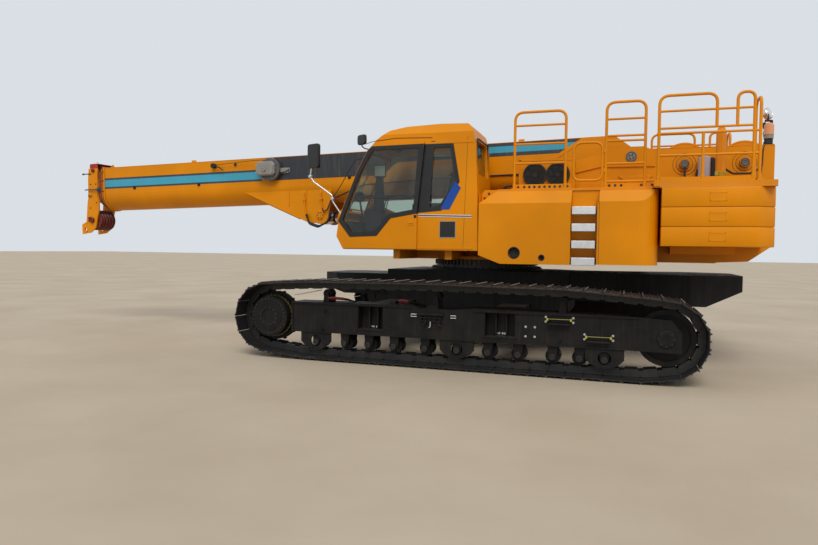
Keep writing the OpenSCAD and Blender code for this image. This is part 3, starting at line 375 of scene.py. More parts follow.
MAT = {
    "yellow": painted("Machine yellow", YELLOW, gloss=0.36, dust=0.08, ground=0.05, streaks=0.02, coat=0.02),
    "yellow_deck": chequered("Machine yellow tread plate", YELLOW),
    "graphite": painted("Graphite paint", GRAPHITE, gloss=0.5, dust=0.05, ground=0.03, streaks=0.02, coat=0.0),
    "boom_grey": painted("Boom panel grey", BOOM_GREY, gloss=0.3, dust=0.1),
    "stripe_blue": painted("Stripe blue", STRIPE_BLUE, gloss=0.28, dust=0.1, streaks=0.05),
    "stripe_edge": painted("Stripe border", STRIPE_EDGE, gloss=0.3, dust=0.1),
    "cab_blue": painted("Cab blue", CAB_BLUE, gloss=0.25, dust=0.05, streaks=0.03),
    "red": painted("Guard red", srgb(172, 40, 36), gloss=0.4),
    "sheave": painted("Sheave red brown", srgb(104, 34, 26), gloss=0.5, dust=0.15),
    "cover_grey": painted("Cover grey", srgb(150, 147, 143), gloss=0.38, dust=0.1),
    "track": scuffed("Track steel", TRACK_BLACK, srgb(84, 83, 82), rub=0.14, soil=0.03, grain=24.0),
    "link": scuffed("Chain link steel", srgb(24, 24, 25), srgb(86, 84, 82), rub=0.16, soil=0.04, grain=40.0),
    "gear": scuffed("Greased gear", srgb(44, 42, 36), srgb(120, 112, 84), rub=0.3, soil=0.1, grain=60.0),
    "bright": metal("Bright steel", (0.62, 0.62, 0.61, 1.0), 0.32),
    "chrome": metal("Chromed rod", (0.72, 0.73, 0.75, 1.0), 0.12, 0.02),
    "aluminium": metal("Folded aluminium", (0.74, 0.75, 0.76, 1.0), 0.42, 0.2),
    "zinc": metal("Zinc plated", (0.66, 0.62, 0.42, 1.0), 0.38),
    "rope": scuffed("Wire rope", srgb(70, 68, 66), srgb(150, 148, 144), rub=0.6, soil=0.05, grain=400.0, bump=0.6),
    "rubber": plastic("Black rubber", srgb(22, 22, 23), 0.62, 320.0, 0.15, 0.04),
    "trim": plastic("Black gloss trim", srgb(19, 20, 22), 0.26, 900.0, 0.04, 0.015),
    "liner": plastic("Cab lining", srgb(34, 35, 38), 0.7),
    "glass": window_glass("Tinted glass", (0.6, 0.68, 0.62, 1.0)),
    "mirror": metal("Mirror glass", (0.8, 0.82, 0.84, 1.0), 0.03, 0.0),
    "amber": lens("Amber lens", srgb(230, 158, 104)),
    "clear": lens("Clear lens", srgb(214, 216, 214)),
    "lamp_red": lens("Small red lens", srgb(150, 44, 20)),
    "seat": woven("Seat cloth", srgb(44, 46, 50)),
    "sling": woven("Red webbing", srgb(150, 44, 66)),
    "wrap": plastic("Wrapping film", srgb(184, 172, 176), 0.3, 90.0, 0.5, 0.05),
    "limer": painted("Marking yellow green", srgb(176, 174, 52), gloss=0.45),
    # A darker copy of the yellow-green marking: painted shade for parts set back behind the sprocket drum.
    "limer_painted_shade": painted("Shaded yellow green", srgb(92, 88, 34), gloss=0.5),
    # Pale grey for the grouser tips: wear, and a painted highlight standing in for the light the tips catch.
    "worn": painted("Worn grouser edge with painted highlight", srgb(178, 177, 174), gloss=0.5, dust=0.1),
    "engine": scuffed("Engine casting", srgb(84, 86, 88), srgb(140, 140, 138), rub=0.2, soil=0.1, grain=20.0),
    "warning": striped_warning("Black and yellow bands", srgb(232, 160, 20), srgb(26, 26, 28), 0.12, 0.8),
}

CAD_FINISH = {
    "graphite": ["carbody", "side_frame_left", "side_frame_right", "sprocket_left", "sprocket_right",
        "idler_left", "idler_right", "rollers_left", "rollers_right"],
    "gear": ["slew_ring"],
    "track": ["track_left", "track_right"],
    "glass": ["cab_glass", "door_glass"],
    "seat": ["cab_seat"],
    "aluminium": ["access_ladder"],
    "engine": ["engine_block"],
    "yellow_deck": ["deck"],
    "trim": ["mirrors"],
    "rubber": ["work_lamps"],
    "chrome": ["lift_rod"],
    "sheave": ["hoist_sheaves", "guide_sheaves"],
    "cover_grey": ["cable_reel"],
}
finish_of = {node: key for key, names in CAD_FINISH.items() for node in names}

# The finishes that go in each slot of the shared material list
SLOTS = {
    "yellow_paint": ["yellow", "stripe_blue", "stripe_edge", "boom_grey", "cab_blue", "limer", "limer_painted_shade",
        "warning"],
    "dark_paint": ["graphite", "gear"],
    "red_paint": ["red", "sheave", "sling", "lamp_red", "amber"],
    "grey_paint": ["cover_grey", "wrap"],
    "track_steel": ["track", "link", "worn"],
    "bare_steel": ["bright", "chrome", "aluminium", "zinc", "rope", "mirror"],
    "black_plastic": ["rubber", "trim", "liner"],
    "engine_iron": ["engine"],
    "glass": ["clear"],
    "seat_fabric": ["seat"],
}
SLOT_OF = {finish: slot for slot, finishes in SLOTS.items() for finish in finishes}
for name, node in nodes.items():
    node.data.materials.clear()
    node.data.materials.append(MAT[finish_of.get(name, "yellow")])


# ---------------------------------------------------------------- modelling helpers
def at(x, y, z):
    """A point given from the slewing axis, in the row frame."""
    return Vector((x + AXIS_X, y, z))


def only(obj=None):
    """Selects one object, or none."""
    bpy.ops.object.select_all(action="DESELECT")
    if obj:
        obj.select_set(True)
        bpy.context.view_layer.objects.active = obj


def settle(obj):
    """Puts the object's place, turn and size into its mesh."""
    only(obj)
    bpy.ops.object.transform_apply(location=True, rotation=True, scale=True)
    return obj


def apply_all(obj):
    only(obj)
    for modifier in list(obj.modifiers):
        bpy.ops.object.modifier_apply(modifier=modifier.name)
    return obj


def bevelled(obj, width=0.004, segments=2, angle=35):
    modifier = obj.modifiers.new("Bevel", "BEVEL")
    modifier.width = width
    modifier.segments = segments
    modifier.limit_method = "ANGLE"
    modifier.angle_limit = radians(angle)
    modifier.harden_normals = False
    return apply_all(obj)


def smooth(obj, angle=35):
    only(obj)
    bpy.ops.object.shade_smooth_by_angle(angle=radians(angle))
    return obj


def in_scene(name, data):
    """A new object that shows some data."""
    obj = bpy.data.objects.new(name, data)
    bpy.context.scene.collection.objects.link(obj)
    return obj


def from_bmesh(name, mesh):
    data = bpy.data.meshes.new(name)
    mesh.to_mesh(data)
    mesh.free()
    return in_scene(name, data)


def mesh_piece(name, points, faces):
    mesh = bpy.data.meshes.new(name)
    mesh.from_pydata([tuple(p) for p in points], [], faces)
    obj = in_scene(name, mesh)
    only(obj)
    bpy.ops.object.mode_set(mode="EDIT")
    bpy.ops.mesh.select_all(action="SELECT")
    bpy.ops.mesh.normals_make_consistent(inside=False)
    bpy.ops.object.mode_set(mode="OBJECT")
    return obj


def put(obj, name, finish, body="upper", slot=None):
    """Names a finished piece or joined list of parts, gives it its finish and lets it ride on its body."""
    obj = joined(obj) if isinstance(obj, list) else obj
    slot = slot or SLOT_OF[finish]
    obj.name = name
    obj.data.name = name
    obj.data.materials.clear()
    obj.data.materials.append(MAT[finish])
    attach(obj, body)
    return obj


def prism(points, y0, y1, bevel=0.0, frame_at=None):
    """A plate from an outline in the X-Z plane between two Y planes."""
    n = len(points)
    low = [Vector((x, y0, z)) for x, z in points]
    high = [Vector((x, y1, z)) for x, z in points]
    faces = [list(range(n)), list(range(2 * n - 1, n - 1, -1))]
    faces += [[i, (i + 1) % n, n + (i + 1) % n, n + i] for i in range(n)]
    matrix = frame_at or HOME
    obj = mesh_piece("plate", [matrix @ p for p in low + high], faces)
    return bevelled(obj, bevel) if bevel else obj


def box(low, high, bevel=0.004, matrix=None):
    """A block between two corners with eased edges."""
    only()
    centre = [(a + b) / 2 for a, b in zip(low, high)]
    bpy.ops.mesh.primitive_cube_add(size=1.0, location=centre)
    obj = bpy.context.object
    obj.scale = [b - a for a, b in zip(low, high)]
    settle(obj)
    if bevel:
        bevelled(obj, bevel)
    obj.data.transform(matrix or HOME)
    return obj


AXIS_TURNS = {"x": turn(pi / 2, "Y"), "-x": turn(-pi / 2, "Y"), "y": turn(-pi / 2, "X"),
    "-y": turn(pi / 2, "X"), "z": PLAIN}


def stepped(obj, along, steps):
    """Insets the faces that look one way and moves them that way. steps: (inset, lift) pairs."""
    along = Vector(along)
    only(obj)
    bpy.ops.object.mode_set(mode="EDIT")
    mesh = bmesh.from_edit_mesh(obj.data)
    for face in mesh.faces:
        face.select = face.normal.dot(along) > 0.9
    bmesh.update_edit_mesh(obj.data)
    for inset, lift in steps:
        bpy.ops.mesh.inset(thickness=inset, depth=0.0)
        if lift:
            bpy.ops.mesh.extrude_region_move(TRANSFORM_OT_translate={"value": along * lift})
    bpy.ops.object.mode_set(mode="OBJECT")
    return obj


def drum(x, y, z, radius, depth, axis="y", steps=(), vertices=40, bevel=0.003, matrix=None):
    """A turned part: a cylinder whose end face is stepped by insets and extrusions. steps: (inset, extrude) pairs."""
    only()
    bpy.ops.mesh.primitive_cylinder_add(vertices=vertices, radius=radius, depth=depth)
    obj = stepped(bpy.context.object, (0, 0, 1), steps)
    if bevel:
        bevelled(obj, bevel, 1)
    smooth(obj)
    obj.data.transform((matrix or HOME) @ move(x, y, z) @ AXIS_TURNS[axis])
    return obj


def copies(pattern, matrices):
    """One mesh with a copy of the pattern at each matrix."""
    mesh = bmesh.new()
    for matrix in matrices:
        count = len(mesh.verts)
        mesh.from_mesh(pattern.data)
        mesh.verts.ensure_lookup_table()
        for vert in mesh.verts[count:]:
            vert.co = matrix @ vert.co
        if matrix.determinant() < 0:
            fresh = [f for f in mesh.faces if f.verts[0].index >= count or f.verts[0].index == -1]
            bmesh.ops.reverse_faces(mesh, faces=fresh)
        mesh.verts.index_update()
    obj = from_bmesh("copies", mesh)
    bpy.data.objects.remove(pattern)
    return obj


def joined(parts):
    """Several meshes as one."""
    bpy.ops.object.select_all(action="DESELECT")
    for part in parts:
        part.select_set(True)
    bpy.context.view_layer.objects.active = parts[0]
    if len(parts) > 1:
        bpy.ops.object.join()
    return bpy.context.object


def fillet(points, radius, steps=5):
    """A route of points with its corners rounded."""
    points = [Vector(p) for p in points]
    route = [points[0]]
    for before, corner, after in zip(points, points[1:], points[2:]):
        a, b = (before - corner), (after - corner)
        angle = a.angle(b)
        reach = min(radius / tan(angle / 2), a.length * 0.49, b.length * 0.49)
        start, end = corner + a.normalized() * reach, corner + b.normalized() * reach
        for i in range(steps + 1):
            t = i / steps
            route.append((1 - t) ** 2 * start + 2 * t * (1 - t) * corner + t * t * end)
    route.append(points[-1])
    return route


def tube(points, radius, round_off=0.06, steps=5, sides=3, closed=False, matrix=None):
    """A round bar or hose along a route."""
    matrix = matrix or HOME
    curve = bpy.data.curves.new("tube", "CURVE")
    curve.dimensions = "3D"
    curve.bevel_depth = radius
    curve.bevel_resolution = sides
    curve.use_fill_caps = True
    route = fillet(points, round_off, steps) if round_off else [Vector(p) for p in points]
    spline = curve.splines.new("POLY")
    spline.points.add(len(route) - 1)
    for target, point in zip(spline.points, route):
        target.co = (*(matrix @ point), 1.0)
    spline.use_cyclic_u = closed
    only(in_scene("tube", curve))
    bpy.ops.object.convert(target="MESH")
    return smooth(bpy.context.object, 50)


def bolt(radius=0.014, height=0.01):
    """A hexagon head on its washer, pointing along +Z."""
    only()
    bpy.ops.mesh.primitive_cylinder_add(vertices=12, radius=radius * 1.35, depth=height * 0.3,
        location=(0, 0, height * 0.15))
    washer = settle(bpy.context.object)
    only()
    bpy.ops.mesh.primitive_cylinder_add(vertices=6, radius=radius, depth=height,
        location=(0, 0, height * 0.75))
    head = settle(bpy.context.object)
    bevelled(head, radius * 0.12, 1, 50)
    return joined([washer, head])


def toward(direction):
    """The turn that takes +Z along a direction."""
    return Vector((0, 0, 1)).rotation_difference(Vector(direction)).to_matrix().to_4x4()


def facing(x, y, z, direction=(0, 1, 0)):
    """The matrix that stands a pattern on a surface: +Z of the pattern along the direction."""
    return Matrix.Translation(at(x, y, z)) @ toward(direction)


def around(count):
    """Even angles round a circle."""
    return [i * tau / count for i in range(count)]


def circle(x, y, z, radius, count):
    """Points on a circle round a Y axis."""
    return [(x + radius * cos(a), y, z + radius * sin(a)) for a in around(count)]


def ring_of(x, y, z, radius, count, phase=0.0):
    """Matrices on a circle round a Y axis."""
    return [facing(x + radius * cos(phase + a), y, z + radius * sin(phase + a)) for a in around(count)]


def outward(s):
    """The axis that leads away from the middle on a side."""
    return "y" if s > 0 else "-y"


# ---------------------------------------------------------------- track shoes and chain
# Wheels that the inner face of the shoes runs round: x, z, radius
LOOP_WHEELS = [(-2.3, 0.338, 0.3), (2.0, 0.338, 0.3), (2.59, 0.558, 0.456), (1.9, 0.754, 0.3),
    (0.2, 0.772, 0.3), (-1.5, 0.754, 0.3), (-2.6, 0.52, 0.446)]
SHOE_PITCH = 0.2159


def track_joints():
    """Places of the chain's joints round the loop, at one pitch."""
    wheels = LOOP_WHEELS
    count = len(wheels)
    normals, lines = [], []
    for (ax, az, ar), (bx, bz, br) in zip(wheels, wheels[1:] + wheels[:1]):
        span = hypot(bx - ax, bz - az)
        normals.append(atan2(bz - az, bx - ax) - acos((ar - br) / span))
        lines.append(sqrt(span ** 2 - (ar - br) ** 2))
    arcs = [wheels[i][2] * ((normals[i] - normals[i - 1]) % tau) for i in range(count)]
    length = sum(arcs) + sum(lines)
    shoes = round(length / SHOE_PITCH)

    def spot(s):
        for i, (x, z, r) in enumerate(wheels):
            if s <= arcs[i]:
                a = normals[i - 1] + s / r
                return x + r * cos(a), z + r * sin(a)
            s -= arcs[i]
            a = normals[i]
            if s <= lines[i] or i == count - 1:
                return x + r * cos(a) - s * sin(a), z + r * sin(a) + s * cos(a)
            s -= lines[i]
    return [spot(k * length / shoes) for k in range(shoes)]


def shoe_pattern():
    """One triple-grouser shoe: X along the chain, Y across it, Z outwards."""
    outline = [(0.002, 0.0), (0.002, 0.012), (0.013, 0.038), (0.019, 0.038), (0.03, 0.012), (0.09, 0.012),
        (0.0985, 0.033), (0.1035, 0.033), (0.113, 0.012), (0.18, 0.012), (0.19, 0.033), (0.196, 0.033),
        (0.207, 0.012), (0.2125, 0.01), (0.2125, 0.0)]
    across = [(-0.35, 0.45), (-0.325, 1.0), (0.325, 1.0), (0.35, 0.45)]
    points, faces, n = [], [], len(outline)
    for y, share in across:
        points += [(x, y, z if z <= 0.012 else 0.012 + (z - 0.012) * share) for x, z in outline]
    for k in range(len(across) - 1):
        faces += [[k * n + i, k * n + (i + 1) % n, (k + 1) * n + (i + 1) % n, (k + 1) * n + i] for i in
            range(n)]
    faces += [list(range(n)), list(range(4 * n - 1, 3 * n - 1, -1))]
    return mesh_piece("shoe", points, faces)


def link_pattern():
    """The two chain links under a shoe, each with its nut pocket and the boss of its joint."""
    parts = []
    side = [(0.01, -0.004), (0.204, -0.004), (0.206, -0.052), (0.176, -0.094), (0.04, -0.094),
        (0.008, -0.052)]
    for s in (-1, 1):
        y0, y1 = sorted((s * 0.08, s * 0.104))
        parts.append(stepped(prism(side, y0, y1, frame_at=PLAIN), (0, s, 0), [(0.022, -0.012)]))
        parts.append(drum(0.0, s * 0.092, -0.045, 0.036, 0.026, outward(s), [(0.012, 0.004)], vertices=14,
            bevel=0, matrix=PLAIN))
        for x in (0.075, 0.107, 0.139):
            parts.append(box((x - 0.007, min(s * 0.094, s * 0.101), -0.078),
                (x + 0.007, max(s * 0.094, s * 0.101), -0.026), 0, PLAIN))
    return joined(parts)


def build_track(side, name):
    joints = track_joints()
    frames = []
    for (ax, az), (bx, bz) in zip(joints, joints[1:] + joints[:1]):
        along = Vector((bx - ax, 0, bz - az)).normalized()
        out = Vector((along.z, 0, -along.x))
        across = out.cross(along)
        frames.append(Matrix.Translation(at(ax, side * TRACK_Y, az)) @
            Matrix(((along.x, across.x, out.x, 0), (along.y, across.y, out.y, 0),
            (along.z, across.z, out.z, 0), (0, 0, 0, 1))))
    shoes = copies(shoe_pattern(), frames)
    shoes = put(shoes, f"track_shoes_{name}", "track", "undercarriage")
    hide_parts(f"track_{name}")
    # Pale strips along the grouser tips: wear, with a painted highlight where the tips catch the light.
    edge = prism([(0.0105, 0.033), (0.0125, 0.0379), (0.0195, 0.0379), (0.0215, 0.033)], -0.318, 0.318, 0,
        PLAIN)
    put(copies(edge, frames), f"grouser_edges_{name}", "worn", "undercarriage")
    links = copies(link_pattern(), frames)
    put(smooth(links, 30), f"track_chain_{name}", "link", "undercarriage")
    head = bolt(0.012, 0.009)
    spots = [f @ move(x, y, 0.012) for f in frames for x in (0.058, 0.146) for y in (-0.072, 0.072)]
    put(copies(head, spots), f"shoe_bolts_{name}", "link", "undercarriage")
    pin = drum(0, 0, 0, 0.013, 0.004, "z", [(0.003, -0.001)], vertices=10, bevel=0, matrix=PLAIN)
    spots = [f @ move(0, s * 0.111, -0.045) @ turn(-s * pi / 2, "X") for f in frames for s in (-1, 1)]
    put(copies(pin, spots), f"chain_pins_{name}", "link", "undercarriage")


for side, name in ((1, "left"), (-1, "right")):
    build_track(side, name)


# ---------------------------------------------------------------- undercarriage details
def mirrored(obj):
    """A copy of a piece on the other side of the machine."""
    twin = in_scene(obj.name, obj.data.copy())
    twin.data.transform(Matrix.Scale(-1, 4, (0, 1, 0)))
    twin.data.flip_normals()
    return twin


def both_sides(obj, name, finish, body="upper"):
    """Places a piece, or a joined list of parts, and its mirrored copy."""
    obj = joined(obj) if isinstance(obj, list) else obj
    twin = mirrored(obj)
    put(obj, name + "_left", finish, body)
    put(twin, name + "_right", finish, body)


def annulus(x, y, z, outer, inner, depth, notches=0, notch=0.0, bevel=0.0):
    """A flat ring that faces +Y, with notches in its rim where asked for. y is its inner face."""
    steps = notches * 4 if notches else 48
    points, faces = [], []
    for layer in (0, depth):
        for ring in (outer, inner):
            for i in range(steps):
                r = ring - notch if notches and ring == outer and i % 4 in (0, 1) else ring
                a = tau * i / steps
                points.append(at(x + r * cos(a), y + layer, z + r * sin(a)))
    high = 2 * steps
    for i in range(steps):
        j = (i + 1) % steps
        n0, n1 = steps + i, steps + j
        faces += [[i, j, n1, n0], [high + i, high + j, high + n1, high + n0], [i, j, high + j, high + i],
            [n0, n1, high + n1, high + n0]]
    obj = mesh_piece("ring", points, faces)
    return smooth(bevelled(obj, bevel, 1) if bevel else obj, 30)


def ring_at(matrix, outer, inner, depth, bevel):
    """A flat ring stood at a matrix, its inner face down on the Y plane there."""
    ring = annulus(0, 0, 0, outer, inner, depth, bevel=bevel)
    ring.data.transform(matrix @ move(-AXIS_X, 0, 0))
    return ring


FRAME_FACE = TRACK_Y + 0.18
SPROCKET = (2.59, 0.558)
IDLER = (-2.6, 0.52)

# Final drive: domed cover, its bolts, and the notched ring behind the drum
x, z = SPROCKET
cover = drum(x, TRACK_Y + 0.2085, z, 0.262, 0.016, "y", [(0.01, 0.004), (0.06, 0.006), (0.03, 0.01),
    (0.06, -0.006), (0.03, 0.0)], 48, 0.002)
both_sides(cover, "final_drive_cover", "graphite", "undercarriage")
bolts = copies(bolt(0.011, 0.01), ring_of(x, TRACK_Y + 0.2205, z, 0.243, 28) + ring_of(x, TRACK_Y + 0.236, z,
    0.12, 12, phase=0.2))
both_sides(bolts, "final_drive_bolts", "link", "undercarriage")
# The notched ring and its bolts are the yellow-green marking darkened by painted shade, as they sit behind the drum.
both_sides(annulus(x, TRACK_Y + 0.071, z, 0.3, 0.2795, 0.01, notches=30, notch=0.011), "sprocket_ring",
    "limer_painted_shade", "undercarriage")
both_sides(copies(bolt(0.0095, 0.012), ring_of(x, TRACK_Y + 0.081, z, 0.2865, 30)), "sprocket_bolts",
    "limer_painted_shade", "undercarriage")

# Idler: hub cap and its bolts
x, z = IDLER
both_sides(drum(x, FRAME_FACE + 0.004, z, 0.105, 0.024, "y", [(0.012, 0.004), (0.05, -0.005)], 40),
    "idler_cap", "graphite", "undercarriage")
both_sides(copies(bolt(0.01, 0.009), ring_of(x, FRAME_FACE + 0.016, z, 0.085, 8)), "idler_bolts", "link",
    "undercarriage")

# Track frame: raised border round the front panel, seams, small plates and lugs on the outer face
face = FRAME_FACE
STEPS = ((-1.39, 0.69), (-1.85, 0.5))
strips = [box((2.222, face - 0.002, 0.381), (2.25, face + 0.012, 0.752), 0.002),
    box((1.268, face - 0.001, 0.385), (1.274, face + 0.003, 0.75), 0.001),
    box((-1.866, face - 0.001, 0.385), (-1.86, face + 0.003, 0.74), 0.001),
    box((0.88, face - 0.002, 0.425), (1.275, face + 0.01, 0.443), 0.002),
    box((-0.875, face - 0.002, 0.425), (-0.45, face + 0.01, 0.443), 0.002),
    box((-1.13, face - 0.001, 0.445), (-0.952, face + 0.004, 0.605), 0.002)]
for x, z in ((1.742, 0.672), (1.778, 0.402), (-1.281, 0.735), (-1.282, 0.676), (-1.406, 0.441)):
    strips.append(drum(x, face + 0.011, z, 0.017, 0.024, "y", [(0.004, 0.002), (0.006, -0.006)], 14, 0))
    strips.append(box((x - 0.009, face, z - 0.034), (x + 0.009, face + 0.014, z - 0.008), 0.002))
for x in (-0.735, -0.6, 1.0, 1.12):
    strips.append(box((x - 0.009, face - 0.148, 0.446), (x + 0.009, face - 0.075, 0.748), 0.002))
both_sides(strips, "frame_trim", "graphite", "undercarriage")
spots = [facing(x, face + 0.004, z) for x in (-0.985, -1.097) for z in (0.466, 0.584)]
spots += [facing(x + d, face - 0.14, 0.468) for x in (-0.655, 1.055) for d in (-0.05, -0.02, 0.025,
    0.055)]
spots += [facing(sx + dx, face + 0.001, sz + dz) for sx, sz in STEPS for dx in (-0.163, 0.163) for
    dz in (-0.03, 0.026)]
both_sides(copies(bolt(0.011, 0.01), spots), "frame_bolts", "bright", "undercarriage")

# Middle bracket with its bar, ribs, hook and the two bright clevis loops
parts = [box((0.055, face, 0.672), (0.405, face + 0.045, 0.694), 0.004),
    box((0.085, face, 0.588), (0.375, face + 0.03, 0.598), 0.003),
    box((0.085, face, 0.632), (0.375, face + 0.03, 0.642), 0.003)]
parts += [box((0.1 + i * 0.065, face, 0.59), (0.112 + i * 0.065, face + 0.026, 0.674), 0.002) for i in
    range(5)]
parts.append(drum(0.225, face + 0.006, 0.698, 0.105, 0.016, "y", [(0.018, -0.007)], 32, 0.002))
parts.append(tube([(0.3, face + 0.02, 0.59), (0.3, face + 0.03, 0.555), (0.335, face + 0.03, 0.545)], 0.011,
    0.02))
parts.append(tube([(0.12, face + 0.02, 0.59), (0.12, face + 0.03, 0.545), (0.085, face + 0.03, 0.54)], 0.011,
    0.02))
both_sides(parts, "frame_bracket", "graphite", "undercarriage")
parts = [tube([(x0, face + 0.012, z), (x1, face + 0.018, z)], 0.006, 0) for x0,
    x1 in ((0.425, 0.5), (-0.1, -0.03)) for z in (0.648, 0.678)]
parts += [tube([(x, face + 0.01, 0.655), (x, face + 0.016, 0.672)], 0.006, 0) for x in (0.5, -0.1)]
parts.append(tube([(0.235, face + 0.024, 0.59), (0.235, face + 0.03, 0.525), (0.252, face + 0.03, 0.512)],
    0.008, 0.02))
both_sides(parts, "frame_clevis", "bright", "undercarriage")

# Guide plate under the chain in front, the steps' painted rungs and the plates under the steps
both_sides(prism([(1.905, 0.925), (1.905, 0.933), (2.235, 0.868), (2.235, 0.86)], TRACK_Y - 0.05, face - 0.04,
    0.002), "chain_guide", "aluminium", "undercarriage")
rungs = []
for sx, sz in STEPS:
    rungs.append(tube([(sx - 0.15, face + 0.048, sz + 0.004), (sx + 0.15, face + 0.048, sz + 0.004)], 0.0075,
        0, sides=5))
    for s in (-1, 1):
        rungs.append(box((sx + s * 0.14 - 0.012, face + 0.001, sz - 0.014),
            (sx + s * 0.14 + 0.012, face + 0.062, sz + 0.014), 0.003))
both_sides(rungs, "step_rungs", "limer", "undercarriage")
plates = [box((sx - 0.132, face + 0.002, sz - 0.062), (sx + 0.132, face + 0.073, sz - 0.045), 0.003) for sx,
    sz in STEPS]
both_sides(plates, "step_plates", "graphite", "undercarriage")

# Hose bridges with red sleeves between the car body and the track frames
sleeves, hoses = [], []
for x0, x1 in ((1.49, 1.73), (0.576, 0.7)):
    for k in range(3):
        y = face - 0.11 + k * 0.028
        z = 0.79 + 0.012 * k
        hoses.append(tube([(x0 - 0.1, y - 0.14, 0.79), (x0 - 0.04, y - 0.03, z + 0.02),
            ((x0 + x1) / 2, y, z + 0.03), (x1 + 0.04, y - 0.03, z + 0.02), (x1 + 0.1, y - 0.16, 0.79)],
            0.0085, 0.05))
        sleeves.append(tube([(x0, y - 0.006, z + 0.027), ((x0 + x1) / 2, y, z + 0.034),
            (x1, y - 0.006, z + 0.027)], 0.0115, 0.05))
both_sides(sleeves, "hose_sleeves", "sling", "undercarriage")
both_sides(hoses, "track_hoses", "rubber", "undercarriage")

# Roller axle ends, car body bolts and seams
rollers = [1.88, 1.46, 1.11, 0.75, 0.32, -0.11, -0.51, -0.89, -1.31, -1.63, -1.92]
ends = [drum(x, TRACK_Y + 0.184, 0.2303, 0.04, 0.012, "y", [(0.01, 0.003), (0.012, -0.006)], 20, 0.001) for x
    in rollers]
both_sides(ends, "roller_ends", "link", "undercarriage")
ring = [facing(0.85 * cos(a), 0.85 * sin(a), 1.25, (0, 0, 1)) for a in around(48)]
put(copies(bolt(0.014, 0.016), ring), "ring_bolts", "link", "undercarriage")
seams = [box((x - 0.006, -s * 0.9 - 0.006 if s > 0 else 0.894, 0.63),
    (x + 0.006, -s * 0.894 if s > 0 else 0.906, 1.205), 0.002) for x in (-0.35, 0.75) for s in (1, -1)]
put(seams, "carbody_trim", "graphite", "undercarriage")


# ---------------------------------------------------------------- cab
CAB_SIDE = 1.46
SHELL_TRIM = [(0.345, 2.07), (0.705, 2.04), (0.61, 3.012), (0.185, 3.006), (0.088, 2.47)]
DOOR_TRIM = [(0.702, 2.028), (1.095, 1.962), (1.31, 1.706), (1.733, 1.69), (1.921, 1.925), (1.901, 1.974),
    (1.778, 2.274), (1.625, 2.643), (1.461, 2.944), (1.398, 3.002), (0.612, 3.012)]
DOOR_GLASS_EDGE = [(0.755, 2.088), (1.128, 2.022), (1.345, 1.774), (1.7, 1.762), (1.85, 1.945),
    (1.722, 2.262), (1.572, 2.622), (1.41, 2.9), (1.372, 2.945), (0.69, 2.953)]
SHELL_GLASS_EDGE = [(0.392, 2.128), (0.52, 2.114), (0.47, 2.955), (0.235, 2.95), (0.15, 2.476)]


def frame_plate(outer, inner, y0, y1):
    """A flat frame: the outer outline with the inner one as its opening, filled between with triangles."""
    mesh = bmesh.new()
    for y in (y0, y1):
        loops = []
        for outline in (outer, inner):
            verts = [mesh.verts.new(at(px, y, pz)) for px, pz in outline]
            loops.append([mesh.edges.new((verts[i], verts[(i + 1) % len(verts)])) for i in range(len(verts))])
        bmesh.ops.triangle_fill(mesh, edges=loops[0] + loops[1], use_beauty=True)
    count = len(outer) + len(inner)
    mesh.verts.ensure_lookup_table()
    low = mesh.verts[:count]
    high = mesh.verts[count:2 * count]
    for start, size in ((0, len(outer)), (len(outer), len(inner))):
        for i in range(size):
            a, b = start + i, start + (i + 1) % size
            mesh.faces.new((low[a], low[b], high[b], high[a]))
    bmesh.ops.recalc_face_normals(mesh, faces=mesh.faces)
    return from_bmesh("frame_plate", mesh)


rear_edge = prism([(0.7045, 2.022), (0.696, 2.022), (0.696, 2.06), (0.5988, 3.012), (0.61, 3.012)], 1.465,
    1.5035)
put([frame_plate(DOOR_TRIM, DOOR_GLASS_EDGE, 1.4985, 1.5035), rear_edge], "door_trim", "trim", "door")
put(frame_plate(SHELL_TRIM, SHELL_GLASS_EDGE, CAB_SIDE - 0.001, CAB_SIDE + 0.004), "window_trim", "trim")
put(prism([(0.366, 2.085), (0.232, 2.085), (0.07, 2.385), (0.158, 2.48)], CAB_SIDE + 0.001, CAB_SIDE + 0.005,
    0.001), "cab_stripe", "cab_blue")
put(box((0.14, CAB_SIDE, 1.69), (0.37, CAB_SIDE + 0.003, 1.92), 0.001), "side_plate", "trim")
put(frame_plate([(0.136, 1.686), (0.374, 1.686), (0.374, 1.924), (0.136, 1.924)],
    [(0.146, 1.696), (0.364, 1.696), (0.364, 1.914), (0.146, 1.914)], CAB_SIDE, CAB_SIDE + 0.004),
    "side_plate_edge", "cover_grey")
rail = [prism([(0.69, 1.984), (-0.088, 1.968), (-0.088, 1.979), (0.69, 1.995)], CAB_SIDE, CAB_SIDE + 0.0045,
    0.001), prism([(0.69, 2.01), (-0.088, 1.994), (-0.088, 2.004), (0.69, 2.02)], CAB_SIDE, CAB_SIDE + 0.0045,
    0.001)]
put(prism([(0.69, 1.9945), (-0.088, 1.9785), (-0.088, 1.9945), (0.69, 2.0105)], CAB_SIDE, CAB_SIDE + 0.003,
    0.001), "door_rail_groove", "rubber")
put(rail, "door_rail", "aluminium")
lamp = box((0.452, CAB_SIDE - 0.004, 3.03), (0.512, CAB_SIDE + 0.0045, 3.052), 0.002)
put(lamp, "marker_lamp", "lamp_red")
seams = [tube([(1.5, CAB_SIDE + 0.001, 3.048), (1.4, CAB_SIDE + 0.001, 3.078),
    (1.039, CAB_SIDE + 0.001, 3.112), (0.497, CAB_SIDE + 0.001, 3.098)], 0.0045, 0.3)]
seams.append(tube([(0.03, CAB_SIDE + 0.0005, 1.52), (-0.02, CAB_SIDE + 0.0005, 3.1)], 0.002, 0))
seams.append(tube([(-0.135, 0.672, 2.565), (-0.135, 0.672, 3.075), (-0.135, 1.368, 3.075),
    (-0.135, 1.368, 2.565), (-0.135, 0.68, 2.565)], 0.012, 0.05))
